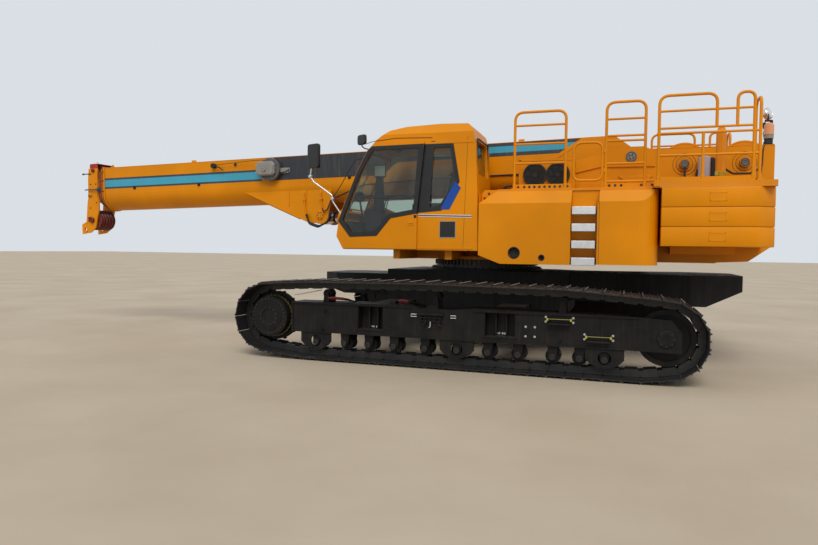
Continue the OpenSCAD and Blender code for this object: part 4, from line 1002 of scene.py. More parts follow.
put(seams, "roof_seal", "rubber")
handle = [box((0.735, 1.4985, 1.86), (0.835, 1.5045, 1.93), 0.004),
    box((0.755, 1.5, 1.885), (0.82, 1.512, 1.907), 0.004)]
put(handle, "door_handle", "yellow", "door")
put(box((0.704, 1.4985, 1.968), (0.742, 1.508, 2.008), 0.004), "door_lock", "rubber", "door")


def front_x(z):
    """Front face of the cab at a height."""
    table = [(1.511, 1.85), (1.7, 1.96), (1.972, 1.92), (2.272, 1.796), (2.641, 1.643), (2.949, 1.476),
        (3.1, 1.34)]
    for (z0, x0), (z1, x1) in zip(table, table[1:]):
        if z <= z1:
            return x0 + (x1 - x0) * (z - z0) / (z1 - z0)
    return table[-1][1]


def front_band(z0, z1, y0, y1):
    """A band that follows the front of the cab between two heights."""
    proud, depth, steps = 0.006, 0.012, 8
    zs = [z0 + (z1 - z0) * i / steps for i in range(steps + 1)]
    outline = [(front_x(z) + proud, z) for z in zs] + [(front_x(z) + proud - depth, z) for z in reversed(zs)]
    return prism(outline, y0, y1)


bands = [front_band(1.98, 2.98, 1.375, 1.459), front_band(1.98, 2.98, 0.551, 0.635),
    front_band(2.915, 2.985, 0.6, 1.4), front_band(1.96, 2.065, 0.56, 1.455),
    front_band(1.625, 1.66, 0.6, 1.4), front_band(1.6, 1.98, 0.58, 0.64), front_band(1.6, 1.98, 1.37, 1.43)]
put(bands, "windscreen_trim", "trim")
wiper = [tube([(2.083, 1.385, 2.25), (1.93, 1.385, 2.47), (1.7, 1.4, 2.83), (1.545, 1.41, 2.86)], 0.006,
    0.03), tube([(front_x(2.08) + 0.02, 1.2, 2.08), (front_x(2.3) + 0.04, 1.12, 2.3),
    (front_x(2.55) + 0.028, 1.02, 2.55)], 0.008, 0.05),
    tube([(front_x(2.26) + 0.016, 1.02, 2.26), (front_x(2.55) + 0.018, 1.02, 2.55),
    (front_x(2.86) + 0.016, 1.02, 2.86)], 0.008, 0.05)]
put(wiper, "wiper", "rubber")

def cushion(low, high, crown=0.02, matrix=None):
    """A padded block: rounded, crowned in the middle and drawn in between its corners."""
    obj = box(low, high, 0, PLAIN)
    only(obj)
    bpy.ops.object.mode_set(mode="EDIT")
    bpy.ops.mesh.select_all(action="SELECT")
    bpy.ops.mesh.subdivide(number_cuts=5)
    bpy.ops.object.mode_set(mode="OBJECT")
    centre = Vector([(a + b) / 2 for a, b in zip(low, high)])
    half = Vector([(b - a) / 2 for a, b in zip(low, high)])
    thin = min(range(3), key=lambda i: half[i])
    for vert in obj.data.vertices:
        d = [(vert.co[i] - centre[i]) / half[i] for i in range(3)]
        others = [i for i in range(3) if i != thin]
        swell = (1 - d[others[0]] ** 2) * (1 - d[others[1]] ** 2)
        vert.co[thin] += d[thin] * crown * swell
        for i, k in (others, others[::-1]):
            vert.co[i] -= d[i] * 0.008 * (1 - d[k] ** 2)
    bevelled(obj, 0.018, 3, 60)
    modifier = obj.modifiers.new("Smooth", "SUBSURF")
    modifier.levels = 1
    apply_all(obj)
    obj.data.transform(matrix or HOME)
    return smooth(obj, 80)


# Mirrors on their arms, in place of the plain ones
arm = [tube([(1.885, 1.4, 1.985), (2.047, 1.42, 2.216), (2.059, 1.42, 2.31), (2.364, 1.42, 2.515),
    (2.428, 1.42, 2.6), (2.4, 1.42, 2.76)], 0.012, 0.05, sides=4), drum(2.052, 1.42, 2.262, 0.024, 0.045, "y",
    [(0.008, 0.004)], 20, 0.002), drum(2.425, 1.42, 2.6, 0.026, 0.05, "y", [(0.008, 0.004)], 20, 0.002),
    box((1.868, 1.385, 1.955), (1.905, 1.435, 2.015), 0.004)]
put(arm, "mirror_arm", "bright")


def mirror_head(x, y, z0, z1, half, thick, angle, name):
    """A moulded housing with rounded corners, with the glass in front of its face."""
    spin = Matrix.Translation(at(x, y, 0)) @ turn(radians(angle), "Z")
    corners = fillet([(0, z0), (half, z0), (half, z1), (-half, z1), (-half, z0), (0, z0)], 0.045)[:-1]
    shell = prism([tuple(p) for p in corners], -thick, thick, 0.012, spin @ turn(pi / 2, "Z"))
    put(shell, name, "trim")
    face = prism([(-half + 0.016, z0 + 0.024), (half - 0.016, z0 + 0.024), (half - 0.012, (z0 + z1) / 2),
        (half - 0.022, z1 - 0.02), (-half + 0.022, z1 - 0.02), (-half + 0.012, (z0 + z1) / 2)], -0.002, 0.002,
        0.001, spin @ move(-thick - 0.004, 0, 0) @ turn(pi / 2, "Z"))
    put(face, name + "_face", "mirror")


mirror_head(2.369, 1.42, 2.716, 3.089, 0.118, 0.028, 70, "mirror_big")
mirror_head(1.585, 1.42, 3.044, 3.192, 0.092, 0.022, 60, "mirror_small")
small_arm = tube([(1.43, 1.385, 2.965), (1.54, 1.42, 2.99), (1.585, 1.42, 3.02), (1.585, 1.42, 3.07)], 0.009,
    0.03)
put(small_arm, "mirror_small_arm", "trim")
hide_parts("mirrors")

# Inside of the cab: lining, floor mat, seat, consoles, levers, wheel and screen
lining = [box((-0.085, 0.6, 1.572), (1.785, 1.412, 1.58), 0.002),
    prism([(-0.086, 1.58), (-0.078, 1.58), (-0.062, 2.3), (-0.045, 2.56), (-0.053, 2.56), (-0.07, 2.3)], 0.6,
    1.41), prism([(1.296, 3.036), (1.118, 3.146), (0.888, 3.191), (0.4, 3.208), (0.4, 3.2), (0.888, 3.183),
    (1.112, 3.138), (1.29, 3.03)], 0.6, 0.72), prism([(1.296, 3.036), (1.118, 3.146), (0.9, 3.188),
    (0.9, 3.18), (1.112, 3.138), (1.29, 3.03)], 0.6, 1.41),
    prism([(0.19, 3.203), (0.062, 3.192), (0.014, 3.148), (-0.03, 2.995), (-0.022, 2.993), (0.022, 3.142),
    (0.066, 3.184), (0.19, 3.195)], 0.6, 1.41), prism([(-0.075, 1.58), (1.78, 1.58), (1.875, 1.725),
    (1.845, 1.95), (1.82, 2.00), (0.39, 2.05), (0.15, 2.38), (-0.06, 2.3)], 0.597, 0.603),
    prism([(-0.075, 1.58), (0.66, 1.58), (0.66, 2.03), (0.36, 2.05), (0.11, 2.45), (0.19, 3.03), (0.03, 3.1),
    (-0.06, 2.3)], 1.407, 1.413), prism([(1.6, 1.58), (1.8, 1.58), (1.87, 1.7), (1.84, 1.93), (1.76, 1.93),
    (1.7, 1.72)], 0.62, 1.39, 0.01)]
put(lining, "cab_lining", "liner")


SEAT_Y = 1.025
back_lean = Matrix.Translation(at(0.36, SEAT_Y, 2.03)) @ turn(radians(-14), "Y")
seat = cushion((0.38, SEAT_Y - 0.25, 1.93), (0.86, SEAT_Y + 0.25, 2.04), 0.02)
put(seat, "seat_cushion", "seat")
back = cushion((-0.06, -0.24, 0.0), (0.05, 0.24, 0.6), 0.02, back_lean)
put(back, "seat_back", "seat")
head = cushion((-0.045, -0.14, 0.64), (0.045, 0.14, 0.8), 0.012, back_lean)
put(head, "seat_head", "seat")
base = [box((0.4, SEAT_Y - 0.2, 1.58), (0.78, SEAT_Y + 0.2, 1.66), 0.01),
    box((0.36, SEAT_Y - 0.24, 1.83), (0.84, SEAT_Y + 0.24, 1.925), 0.012),
    tube([(0.39, SEAT_Y - 0.1, 2.62), (0.235, SEAT_Y - 0.1, 2.7)], 0.009, 0)]
base += [box((0.38, SEAT_Y + s * 0.33 - 0.065, 2.02), (0.8, SEAT_Y + s * 0.33 + 0.065, 2.18), 0.02) for s in
    (-1, 1)]
base += [box((0.42, SEAT_Y + s * 0.33 - 0.05, 1.58), (0.6, SEAT_Y + s * 0.33 + 0.05, 2.03), 0.01) for s in
    (-1, 1)]
bellows = [drum(0.6, SEAT_Y, 1.67 + 0.02 + i * 0.032, 0.17 - 0.02 * (i % 2), 0.03, "z", [], 24, 0.006) for i
    in range(5)]
base = joined(base + bellows)
put(base, "seat_base", "liner")
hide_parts("cab_seat")
levers = []
for s in (-1, 1):
    y = SEAT_Y + s * 0.33
    levers.append(tube([(0.72, y, 2.17), (0.735, y, 2.28)], 0.01, 0))
    levers.append(drum(0.74, y, 2.31, 0.022, 0.09, "z", [(0.006, 0.008), (0.006, 0.004)], 16, 0.004))
for i in range(4):
    levers.append(tube([(1.42, SEAT_Y - 0.12 + i * 0.08, 2.02), (1.36, SEAT_Y - 0.12 + i * 0.08, 2.26)],
        0.008, 0))
    levers.append(drum(1.355, SEAT_Y - 0.12 + i * 0.08, 2.275, 0.017, 0.035, "z", [(0.005, 0.006)], 12,
        0.003))
dash = [prism([(1.36, 1.58), (1.56, 1.58), (1.64, 2.05), (1.56, 2.13), (1.34, 2.06)], SEAT_Y - 0.2,
    SEAT_Y + 0.2, 0.02), tube([(1.6, SEAT_Y + 0.3, 1.98), (1.62, 1.36, 2.15), (1.63, 1.37, 2.28)], 0.014,
    0.05), box((1.29, 1.176, 2.585), (1.48, 1.196, 2.78), 0.008),
    prism([(1.31, 2.06), (1.5, 2.06), (1.45, 2.6), (1.34, 2.6)], 1.15, 1.188, 0.01),
    drum(1.63, 1.375, 2.287, 0.076, 0.05, "y", [(0.012, 0.006), (0.03, -0.008)], 32, 0.004),
    box((1.5, SEAT_Y - 0.3, 1.585), (1.7, SEAT_Y - 0.18, 1.64), 0.006),
    box((1.5, SEAT_Y + 0.18, 1.585), (1.7, SEAT_Y + 0.3, 1.64), 0.006)]
dash.append(tube([(0.74, 1.4, 2.276), (1.62, 1.395, 2.284)], 0.027, 0, sides=4))
put(levers + dash, "cab_controls", "rubber")
put(box((1.303, 1.194, 2.605), (1.467, 1.2, 2.76), 0.001), "cab_screen", "clear")


# ---------------------------------------------------------------- housings, ladder, tank and counterweight
def slab(points, z0, z1, bevel):
    """A plate or block from an outline in the X-Y plane between two heights."""
    n = len(points)
    verts = [Vector((px, py, z)) for z in (z0, z1) for px, py in points]
    faces = [list(range(n)), list(range(2 * n - 1, n - 1, -1))]
    faces += [[i, (i + 1) % n, n + (i + 1) % n, n + i] for i in range(n)]
    return smooth(bevelled(mesh_piece("slab", [HOME @ v for v in verts], faces), bevel, 2), 40)


SIDE = HALF_WIDTH
holes = [annulus(-0.69, SIDE - 0.002, 1.49, 0.083, 0.07, 0.005), annulus(-1.06, SIDE - 0.002, 1.43, 0.043,
    0.03, 0.005)]
put(holes, "housing_rims", "rubber")
discs = [drum(-0.69, 1.4425, 1.49, 0.073, 0.003, "y", [(0.012, 0.006), (0.02, 0.0), (0.01, -0.004)], 32, 0),
    drum(-1.06, 1.4425, 1.43, 0.031, 0.003, "y", [(0.008, 0.004)], 24, 0)]
put(discs, "housing_plugs", "rubber")
trims = [box((-1.405, 1.222, 2.366), (-0.645, 1.232, 2.436), 0.002),
    box((-2.42, 1.222, 2.366), (-1.8, 1.232, 2.436), 0.002), box((-3.6, 1.447, 2.413), (-2.52, 1.455, 2.47),
    0.002), box((-3.6, -1.455, 2.413), (-2.52, -1.447, 2.47), 0.002),
    prism([(-0.19, 2.17), (-0.19, 2.315), (-0.235, 2.362), (-0.43, 2.362), (-0.4, 2.338), (-0.198, 2.16)],
    1.272, 1.282, 0.002), prism([(-0.185, 2.05), (-0.185, 2.3), (-0.178, 2.3), (-0.178, 2.05)], 1.2, 1.42,
    0.002)]
put(trims, "toe_plates", "yellow")
spots = [facing(-0.775 - i * 0.069, 1.232, 2.402) for i in range(8)]
spots += [facing(x, 1.232, 2.402) for x in (-1.355, -0.69, -1.9, -1.975, -2.05, -2.3)]
spots += [facing(x, 1.282, z) for x, z in ((-0.292, 2.312), (-0.232, 2.248))]
put(copies(bolt(0.013, 0.008), spots), "toe_bolts", "gear")

# Ladder: folded treads with gripping dimples, between two stringers
treads = []
for z in (1.436, 1.66, 1.884, 2.108):
    tread = box((-1.745, 1.26, z - 0.101), (-1.445, 1.495, z), 0, PLAIN)
    bevelled(stepped(tread, (0, 1, 0), [(0.016, -0.01)]), 0.004, 2)
    tread.data.transform(HOME)
    treads.append(tread)
    dimple = drum(0, 0, 0, 0.007, 0.004, "z", [(0.002, 0.001)], 10, 0, PLAIN)
    spots = [Matrix.Translation(at(-1.72 + i * 0.028, 1.31 + k * 0.055, z + 0.0015)) for i in range(10) for k
        in range(4)]
    treads.append(copies(dimple, spots))
sides = [box((x, 1.26, 1.345), (x + 0.014, 1.3, 2.2), 0.003) for x in (-1.759, -1.445)]
put(sides, "ladder_sides", "yellow")
ladder = joined(treads)
put(ladder, "ladder_treads", "aluminium")
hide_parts("access_ladder")

# Fuel tank: filler cap on the deck and the joint beside the edge strip
parts = [drum(-2.05, 0.98, 2.392, 0.062, 0.05, "z", [(0.012, 0.006), (0.02, -0.004)], 28, 0.003),
    tube([(-2.05, 0.915, 2.4), (-2.05, 0.915, 2.432), (-2.05, 1.045, 2.432), (-2.05, 1.045, 2.4)], 0.006,
    0.02)]
put(parts, "filler_cap", "rubber")
seam = [tube([(-1.762, SIDE - 0.0005, 1.355), (-1.762, SIDE - 0.0005, 2.155)], 0.004, 0),
    tube([(-1.7915, SIDE + 0.0005, 1.355), (-1.7915, SIDE + 0.0005, 2.165)], 0.002, 0)]
put(seam, "tank_seam", "rubber")

# Counterweight slabs with eased edges and a blank framed pad on each flank
for index, name in enumerate(("lower", "middle", "upper")):
    z0 = 1.6 + index * 0.247
    parts = []
    for s in (-1, 1):
        outline = [(-2.545, s * 0.62), (-2.545, s * 1.5), (-3.655, s * 1.5), (-3.855, s * 1.32),
            (-3.855, s * 0.52), (-3.4, s * 0.52), (-3.4, s * 0.62)]
        parts.append(slab(outline, z0, z0 + 0.243, 0.009))
        ys = sorted((s * 1.4985, s * 1.5045))
        pad = [(-3.104, z0 + 0.172), (-3.286, z0 + 0.172), (-3.286, z0 + 0.074), (-3.104, z0 + 0.074)]
        parts.append(prism(pad, *sorted((s * 1.4985, s * 1.502)), 0.001))
        for (xa, za), (xb, zb) in zip(pad, pad[1:] + pad[:1]):
            parts.append(box((min(xa, xb) - 0.005, ys[0], min(za, zb) - 0.005),
                (max(xa, xb) + 0.005, ys[1], max(za, zb) + 0.005), 0.0015))
    piece = joined(parts)
    put(piece, f"weight_{name}", "yellow")
    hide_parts(f"counterweight_{name}")
lugs = [prism([(x - 0.05, 2.414), (x + 0.05, 2.414), (x + 0.03, 2.49), (x - 0.03, 2.49)], s * 0.72 - 0.012,
    s * 0.72 + 0.012, 0.003) for x in (-3.5, -2.72) for s in (-1, 1)]
for s in (-1, 1):
    lugs.append(annulus(-3.267, 0, 0, 0.088, 0.0625, 0.02, bevel=0.003))
    lugs[-1].data.transform(move(-3.267 + AXIS_X, s * 1.0, 2.414) @ turn(pi / 2, "X") @ move(3.267 - AXIS_X,
        0, 0))
put(lugs, "weight_lugs", "yellow")
straps = []
for s in (-1, 1):
    straps += [drum(-3.267, s * 1.0, 2.527 + k * 0.0095, 0.0665 + 0.0012 * (k % 2), 0.008, "z", [], 28, 0.002)
        for k in range(5)]
    straps.append(box((-3.235, s * 1.0 + 0.052 * s - 0.012, 2.52),
        (-3.195, s * 1.0 + 0.052 * s + 0.016, 2.572), 0.005))
put(straps, "post_straps", "limer")
posts = []
for s in (-1, 1):
    posts.append(drum(-3.267, s * 1.0, 3.128, 0.044, 0.022, "z", [(0.01, 0.006), (0.012, -0.004)], 24, 0.003))
    posts += [box((-3.267 - 0.004, s * 1.0 + q * 0.061 - 0.006, 2.5),
        (-3.267 + 0.004, s * 1.0 + q * 0.061 + 0.006, 3.08), 0.002) for q in (-1, 1)]
put(posts, "post_trim", "yellow")
edges = [box((-3.847, s * 1.474 - 0.008, 2.341), (-2.452, s * 1.474 + 0.008, 2.349), 0.002) for s in (-1, 1)]
edges += [tube([(-2.4415, 0.53, 2.3665), (-2.4415, 1.27, 2.3665), (-0.4115, 1.27, 2.3665),
    (-0.4115, 0.53, 2.3665)], 0.004, 0.02)]
put(edges, "deck_edges", "yellow")

# Oil cooler: two black fans with blades and wire guards, and the core behind them
blade = mesh_piece("blade", [(0.035, -0.018, 0), (0.128, -0.045, 0.006), (0.136, 0.01, 0.016),
    (0.045, 0.022, 0.012), (0.035, -0.018, 0.003), (0.128, -0.045, 0.009), (0.136, 0.01, 0.019),
    (0.045, 0.022, 0.015)], [(0, 1, 2, 3), (7, 6, 5, 4), (0, 4, 5, 1), (1, 5, 6, 2), (2, 6, 7, 3),
    (3, 7, 4, 0)])
parts, spots = [], []
FAN_Z = 2.605
for x in (-0.87, -1.19):
    shroud = annulus(x, 0.859, FAN_Z, 0.167, 0.1385, 0.048, bevel=0.003)
    parts.append(shroud)
    parts.append(drum(x, 0.893, FAN_Z, 0.046, 0.02, "y", [(0.008, 0.004)], 24, 0.002))
    parts.append(drum(x, 0.892, FAN_Z, 0.1395, 0.002, "y", [], 32, 0))
    for r in (0.05, 0.075, 0.1, 0.125):
        parts.append(tube(circle(x, 0.911, FAN_Z, r, 36), 0.0022, 0, sides=1, closed=True))
    for a in [angle + 0.2 for angle in around(8)]:
        parts.append(tube([(x + 0.03 * cos(a), 0.911, FAN_Z + 0.03 * sin(a)),
            (x + 0.15 * cos(a), 0.909, FAN_Z + 0.15 * sin(a))], 0.0025, 0, sides=1))
    base = facing(x, 0.8905, FAN_Z)
    spots += [base @ turn(i * tau / 7, "Z") @ Matrix.Scale(0.75, 4, (0, 0, 1)) for i in range(7)]
parts.append(copies(blade, spots))
put(parts, "cooler_fans", "rubber")
frame_bars = [box((-1.424, 0.656, 2.366), (-0.636, 0.664, 2.395), 0.002),
    box((-1.424, 0.656, 2.8), (-0.636, 0.664, 2.829), 0.002),
    box((-1.424, 0.859, 2.366), (-0.636, 0.866, 2.392), 0.002),
    box((-1.424, 0.859, 2.803), (-0.636, 0.866, 2.829), 0.002)]
frame_bars += [box((x, 0.855, 2.37), (x + 0.03, 0.866, 2.825), 0.002) for x in (-1.423, -0.667)]
put(frame_bars, "cooler_frame", "yellow")
fins = [box((-1.4 + i * 0.019, 0.655, 2.4), (-1.392 + i * 0.019, 0.661, 2.79), 0) for i in range(40)]
put(fins, "cooler_core", "link", "upper", "engine_iron")

# Engine housing: door seams, hinges, catches, louvre slats, exhaust pipe, top grille
face = -SIDE
parts = []
for i in range(10):
    z = 1.502 + i * 0.08
    parts.append(prism([(-2.35, z + 0.034), (-2.35, z + 0.04), (-1.75, z + 0.04), (-1.75, z + 0.034)],
        face - 0.002, face + 0.03))
    parts.append(prism([(-2.345, z), (-2.345, z + 0.004), (-1.755, z + 0.004), (-1.755, z)], face - 0.012,
        face + 0.01))
for i in range(5):
    z = 1.902 + i * 0.08
    parts.append(prism([(-0.895, z), (-0.895, z + 0.004), (-0.505, z + 0.004), (-0.505, z)], face - 0.012,
        face + 0.01))
put(parts, "housing_louvres", "yellow")
HOUSING_DOORS = ((-2.42, -1.68), (-1.66, -0.98), (-0.96, -0.16))
parts = []
for x0, x1 in HOUSING_DOORS:
    for xa, za, xb, zb in ((x0, 1.38, x1, 1.38), (x0, 2.4, x1, 2.4), (x0, 1.38, x0, 2.4),
            (x1, 1.38, x1, 2.4)):
        parts.append(tube([(xa, face - 0.0005, za), (xb, face - 0.0005, zb)], 0.004, 0, sides=1))
put(parts, "housing_seals", "rubber")
parts = []
for x0, x1 in HOUSING_DOORS:
    for z in (1.55, 2.22):
        parts.append(tube([(x0 + 0.02, face - 0.008, z - 0.04), (x0 + 0.02, face - 0.008, z + 0.04)], 0.009,
            0))
    parts.append(box((x1 - 0.1, face - 0.01, 1.84), (x1 - 0.045, face + 0.001, 1.95), 0.004))
put(parts, "housing_catches", "rubber")
pipe = [drum(-0.9, -1.0, 2.63, 0.105, 0.02, "z", [(0.02, 0.004)], 32, 0.003),
    tube([(-0.9, -1.0, 2.64), (-0.9, -1.0, 2.84), (-0.99, -1.0, 2.95), (-1.03, -1.0, 2.96)], 0.073, 0.08,
    sides=6)]
put(pipe, "exhaust_pipe", "engine")
grille = [box((-2.22 + i * 0.045, -1.21, 2.618), (-2.205 + i * 0.045, -0.79, 2.63), 0.001) for i in range(13)]
grille += [box((-2.25, -1.225, 2.615), (-1.64, -1.205, 2.632), 0.002),
    box((-2.25, -0.795, 2.615), (-1.64, -0.775, 2.632), 0.002)]
put(grille, "top_grille", "graphite")

# Upper frame: pin covers, winch ends with their bolt rings, hoses and the wrapped filter
face = 0.518
x, z = -2.17, 2.873
both_sides(annulus(x, face - 0.001, z, 0.074, 0.05, 0.016, bevel=0.003), "foot_pin_ring", "engine")
both_sides(drum(x, face + 0.006, z, 0.051, 0.012, "y", [(0.01, 0.003), (0.02, -0.004)], 36, 0.002),
    "foot_pin_cover", "cover_grey")
both_sides(copies(bolt(0.009, 0.01), ring_of(x, face + 0.014, z, 0.03, 4, phase=0.5)), "foot_pin_bolts",
    "gear")
face = PLATE_FACE
WINCH_Z = 2.745
WINCHES = ((-2.87, "main"), (-3.62, "auxiliary"))
for x, name in WINCHES:
    z = WINCH_Z
    caps = [drum(x, face + 0.05, z, 0.056, 0.02, "y", [(0.01, 0.004), (0.02, -0.003)], 36, 0.003),
        annulus(x, face, z, 0.066, 0.05, 0.044, bevel=0.004)]
    both_sides(caps, f"{name}_winch_cap", "engine")
    both_sides(annulus(x, face - 0.001, z, 0.104, 0.064, 0.006, bevel=0.002), f"{name}_winch_flange",
        "yellow")
    both_sides(copies(bolt(0.0065, 0.006), ring_of(x, face + 0.004, z, 0.085, 12)), f"{name}_winch_bolts",
        "yellow")
    grooves = [tube(circle(x, face + 0.0008, z, r, 48), 0.0028, 0, sides=1, closed=True) for r in
        (0.108, 0.15)]
    both_sides(grooves, f"{name}_winch_groove", "rubber")
wrap = drum(0, 0, 0, 0.078, 0.27, "z", [(0.012, 0.01), (0.02, 0.006)], 24, 0.006, PLAIN)
rng = random.Random(7)
for vert in wrap.data.vertices:
    swell = 1 + 0.05 * sin(5 * atan2(vert.co.y, vert.co.x) + 9 * vert.co.z) + rng.uniform(-0.012, 0.012)
    vert.co.x *= swell
    vert.co.y *= swell
wrap.data.transform(Matrix.Translation(at(-3.11, 0.595, 2.69)))
put(wrap, "wrapped_filter", "wrap")
sheath = [tube([(-3.04, 0.6, 2.825), (-3.1, 0.63, 2.868), (-3.16, 0.6, 2.83)], 0.012, 0.05),
    drum(-3.214, 0.585, 2.665, 0.04, 0.27, "z", [(0.008, 0.012), (0.01, 0.008)], 24, 0.006),
    drum(-3.214, 0.585, 2.56, 0.046, 0.05, "z", [], 24, 0.006)]
put(sheath, "filter_hose", "rubber")
hoses = [tube([(-2.87, 0.585, 2.7), (-2.87, 0.6, 2.52), (-2.8, 0.6, 2.4), (-2.6, 0.58, 2.385)], 0.014, 0.08),
    tube([(-3.22, 0.6, 2.68), (-3.36, 0.6, 2.665), (-3.47, 0.585, 2.592), (-3.7, 0.585, 2.592),
    (-3.79, 0.57, 2.66)], 0.014, 0.1), tube([(-3.03, 0.6, 2.66), (-3.00, 0.6, 2.5), (-3.06, 0.58, 2.4)],
    0.014, 0.06), tube([(-3.85, 0.53, 2.97), (-3.832, 0.55, 2.92), (-3.825, 0.55, 2.72), (-3.805, 0.53, 2.5)],
    0.008, 0.08), tube([(-2.3, 0.75, 2.367), (-2.34, 0.78, 2.44), (-2.42, 0.8, 2.455), (-2.49, 0.75, 2.43),
    (-2.5, 0.62, 2.4)], 0.017, 0.06)]
hoses += [tube([(-0.43 - k * 0.03, 1.0, 2.385), (-0.47 - k * 0.03, 1.0, 2.44), (-0.62 - k * 0.02, 0.99, 2.45),
    (-0.66 - k * 0.02, 0.97, 2.385)], 0.011, 0.04) for k in range(2)]
put(hoses, "frame_hoses", "rubber")
parts = [box((-3.972, s * 0.48 - 0.024, 2.972), (-2.46, s * 0.48 + 0.024, 2.98), 0.002) for s in (-1, 1)]
parts += [prism([(-1.955, 3.008), (-2.345, 3.008), (-2.345, 3.014), (-1.955, 3.014)], s * 0.49 - 0.03,
    s * 0.49 + 0.03, 0.002) for s in (-1, 1)]
parts += [prism([(-2.38, 2.5), (-2.12, 2.5), (-2.00, 2.6), (-2.46, 2.6)], s * 0.508 - 0.01, s * 0.508 + 0.01,
    0.003) for s in (-1, 1)]
put(parts, "plate_edges", "yellow")
tail = -3.98
bands = [box((tail - 0.0006, s * 0.4 - 0.06, 2.7), (tail + 0.001, s * 0.4 + 0.06, 2.95), 0.0003) for s in
    (-1, 1)]
put(bands, "tail_bands", "warning")

# Winch drums: wound rope and flange rims
for x, name in WINCHES:
    body, pitch, points, faces = f"{name}_winch", 0.022, [], []
    half, turns, sides = 0.398, int(0.796 / 0.022), 40
    profile = []
    for k in range(turns):
        y = -half + (k + 0.5) * pitch
        profile += [(y - pitch * 0.45, 0.24), (y - pitch * 0.25, 0.2475), (y, 0.2505),
            (y + pitch * 0.25, 0.2475)]
    profile = [(-half, 0.212)] + profile + [(half, 0.24), (half, 0.212)]
    for i in range(sides):
        a = tau * i / sides
        points += [at(x + r * cos(a), y + pitch * i / sides * (abs(y) < half - 0.01), WINCH_Z + r * sin(a))
            for y, r in profile]
    m = len(profile)
    for i in range(sides):
        j = (i + 1) % sides
        faces += [[i * m + k, i * m + k + 1, j * m + k + 1, j * m + k] for k in range(m - 1)]
        faces.append([i * m + m - 1, i * m, j * m, j * m + m - 1])
    rope = smooth(mesh_piece("rope", points, faces), 40)
    put(rope, f"{name}_rope", "rope", body)
    rims = [annulus(x, s * 0.431 - 0.003, WINCH_Z, 0.312, 0.29, 0.006, bevel=0.001) for s in (-1, 1)]
    put(rims, f"{name}_rims", "yellow", body)


# ---------------------------------------------------------------- handrails, lamps and beacon
RAIL = 0.019
RAIL_Y, REAR_Y = 1.23, 1.44
SIDE_HOOPS = [(-1.325, -0.635, 2.366, 2.366, 3.428), (-2.34, -1.85, 2.366, 2.366, 3.498)]
REAR_HOOPS = [(-3.16, -2.495, 3.085, 2.415, 3.495), (-3.577, -3.389, 2.415, 3.085, 3.49)]
SIDE_BARS = [(-1.325, -0.635, 3.245), (-1.325, -0.635, 2.99), (-1.325, -0.635, 2.725), (-2.34, -1.85, 3.275),
    (-2.34, -1.85, 3.055), (-2.34, -1.85, 2.99), (-2.34, -1.85, 2.69), (-2.47, -1.85, 2.455),
    (-1.85, -1.805, 2.86), (-1.85, -1.805, 2.6)]
REAR_BARS = [(-3.577, -2.495, 3.3), (-3.577, -2.495, 3.085), (-3.645, -2.47, 3.02), (-3.645, -2.495, 2.745)]


def foot(x, y, z):
    """The flange, its socket and the two bolts under a rail's post."""
    return [box((x - 0.045, y - 0.034, z - 0.001), (x + 0.045, y + 0.034, z + 0.011), 0.003),
        drum(x, y, z + 0.04, RAIL + 0.006, 0.062, "z", [(0.003, 0.004)], 20, 0.002),
        copies(bolt(0.009, 0.008), [Matrix.Translation(at(x + d, y, z + 0.011)) for d in (-0.034, 0.034)])]


def rails(hoops, bars, y):
    parts = []
    for x0, x1, foot0, foot1, top in hoops:
        parts.append(tube([(x0, y, foot0), (x0, y, top), (x1, y, top), (x1, y, foot1)], RAIL, 0.12, steps=8,
            sides=4))
        for x, z in ((x0, foot0), (x1, foot1)):
            if z < 2.5:
                parts += foot(x, y, z)
    parts += [tube([(x0, y, z), (x1, y, z)], RAIL * 0.8, 0, sides=4) for x0, x1, z in bars]
    return parts


for s, name in ((1, "left"), (-1, "right")):
    y = s * REAR_Y
    parts = rails(REAR_HOOPS, REAR_BARS, y)
    parts.append(tube([(-3.01, y, 2.415), (-3.01, y, 3.02)], RAIL, 0, sides=4))
    parts.append(tube([(-3.645, y, 2.415), (-3.645, y, 3.43), (-3.645, y - s * 0.34, 3.43),
        (-3.645, y - s * 0.34, 2.415)], RAIL, 0.11, steps=8, sides=4))
    for x, py in ((-3.01, y), (-3.645, y), (-3.645, y - s * 0.34)):
        parts += foot(x, py, 2.415)
    if s > 0:
        parts += rails(SIDE_HOOPS, SIDE_BARS, RAIL_Y)
        parts.append(tube([(-1.62, RAIL_Y, 2.476), (-1.805, RAIL_Y, 2.476), (-1.805, RAIL_Y, 2.98),
            (-1.435, RAIL_Y, 2.98), (-1.435, RAIL_Y, 2.476), (-1.619, RAIL_Y, 2.476)], RAIL * 0.9, 0.11,
            steps=8, sides=4))
        parts += [drum(-1.838, RAIL_Y, z, 0.024, 0.05, "z", [(0.006, 0.004)], 18, 0.003) for z in (2.6, 2.86)]
    piece = joined(parts)
    put(piece, f"rails_{name}", "yellow")
    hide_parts(f"handrails_{name}")
post = [box((-3.972, 0.335, 2.978), (-3.936, 0.368, 3.325), 0.004),
    box((-3.972, 0.325, 2.978), (-3.86, 0.48, 2.99), 0.003),
    box((-3.958, 0.385, 2.988), (-3.868, 0.475, 3.066), 0.01),
    box((-3.96, 0.335, 3.31), (-3.872, 0.368, 3.332), 0.005),
    prism([(-3.876, 3.19), (-3.868, 3.3), (-3.832, 3.275), (-3.845, 3.205)], 0.4, 0.44, 0.006)]
post.append(tube([(-3.87, 0.44, 3.05), (-3.85, 0.452, 3.00), (-3.84, 0.45, 2.93), (-3.85, 0.49, 2.86)], 0.008,
    0.04))
post.append(tube([(-3.862, 0.41, 3.22), (-3.85, 0.41, 3.14), (-3.862, 0.42, 3.05)], 0.006, 0.04))
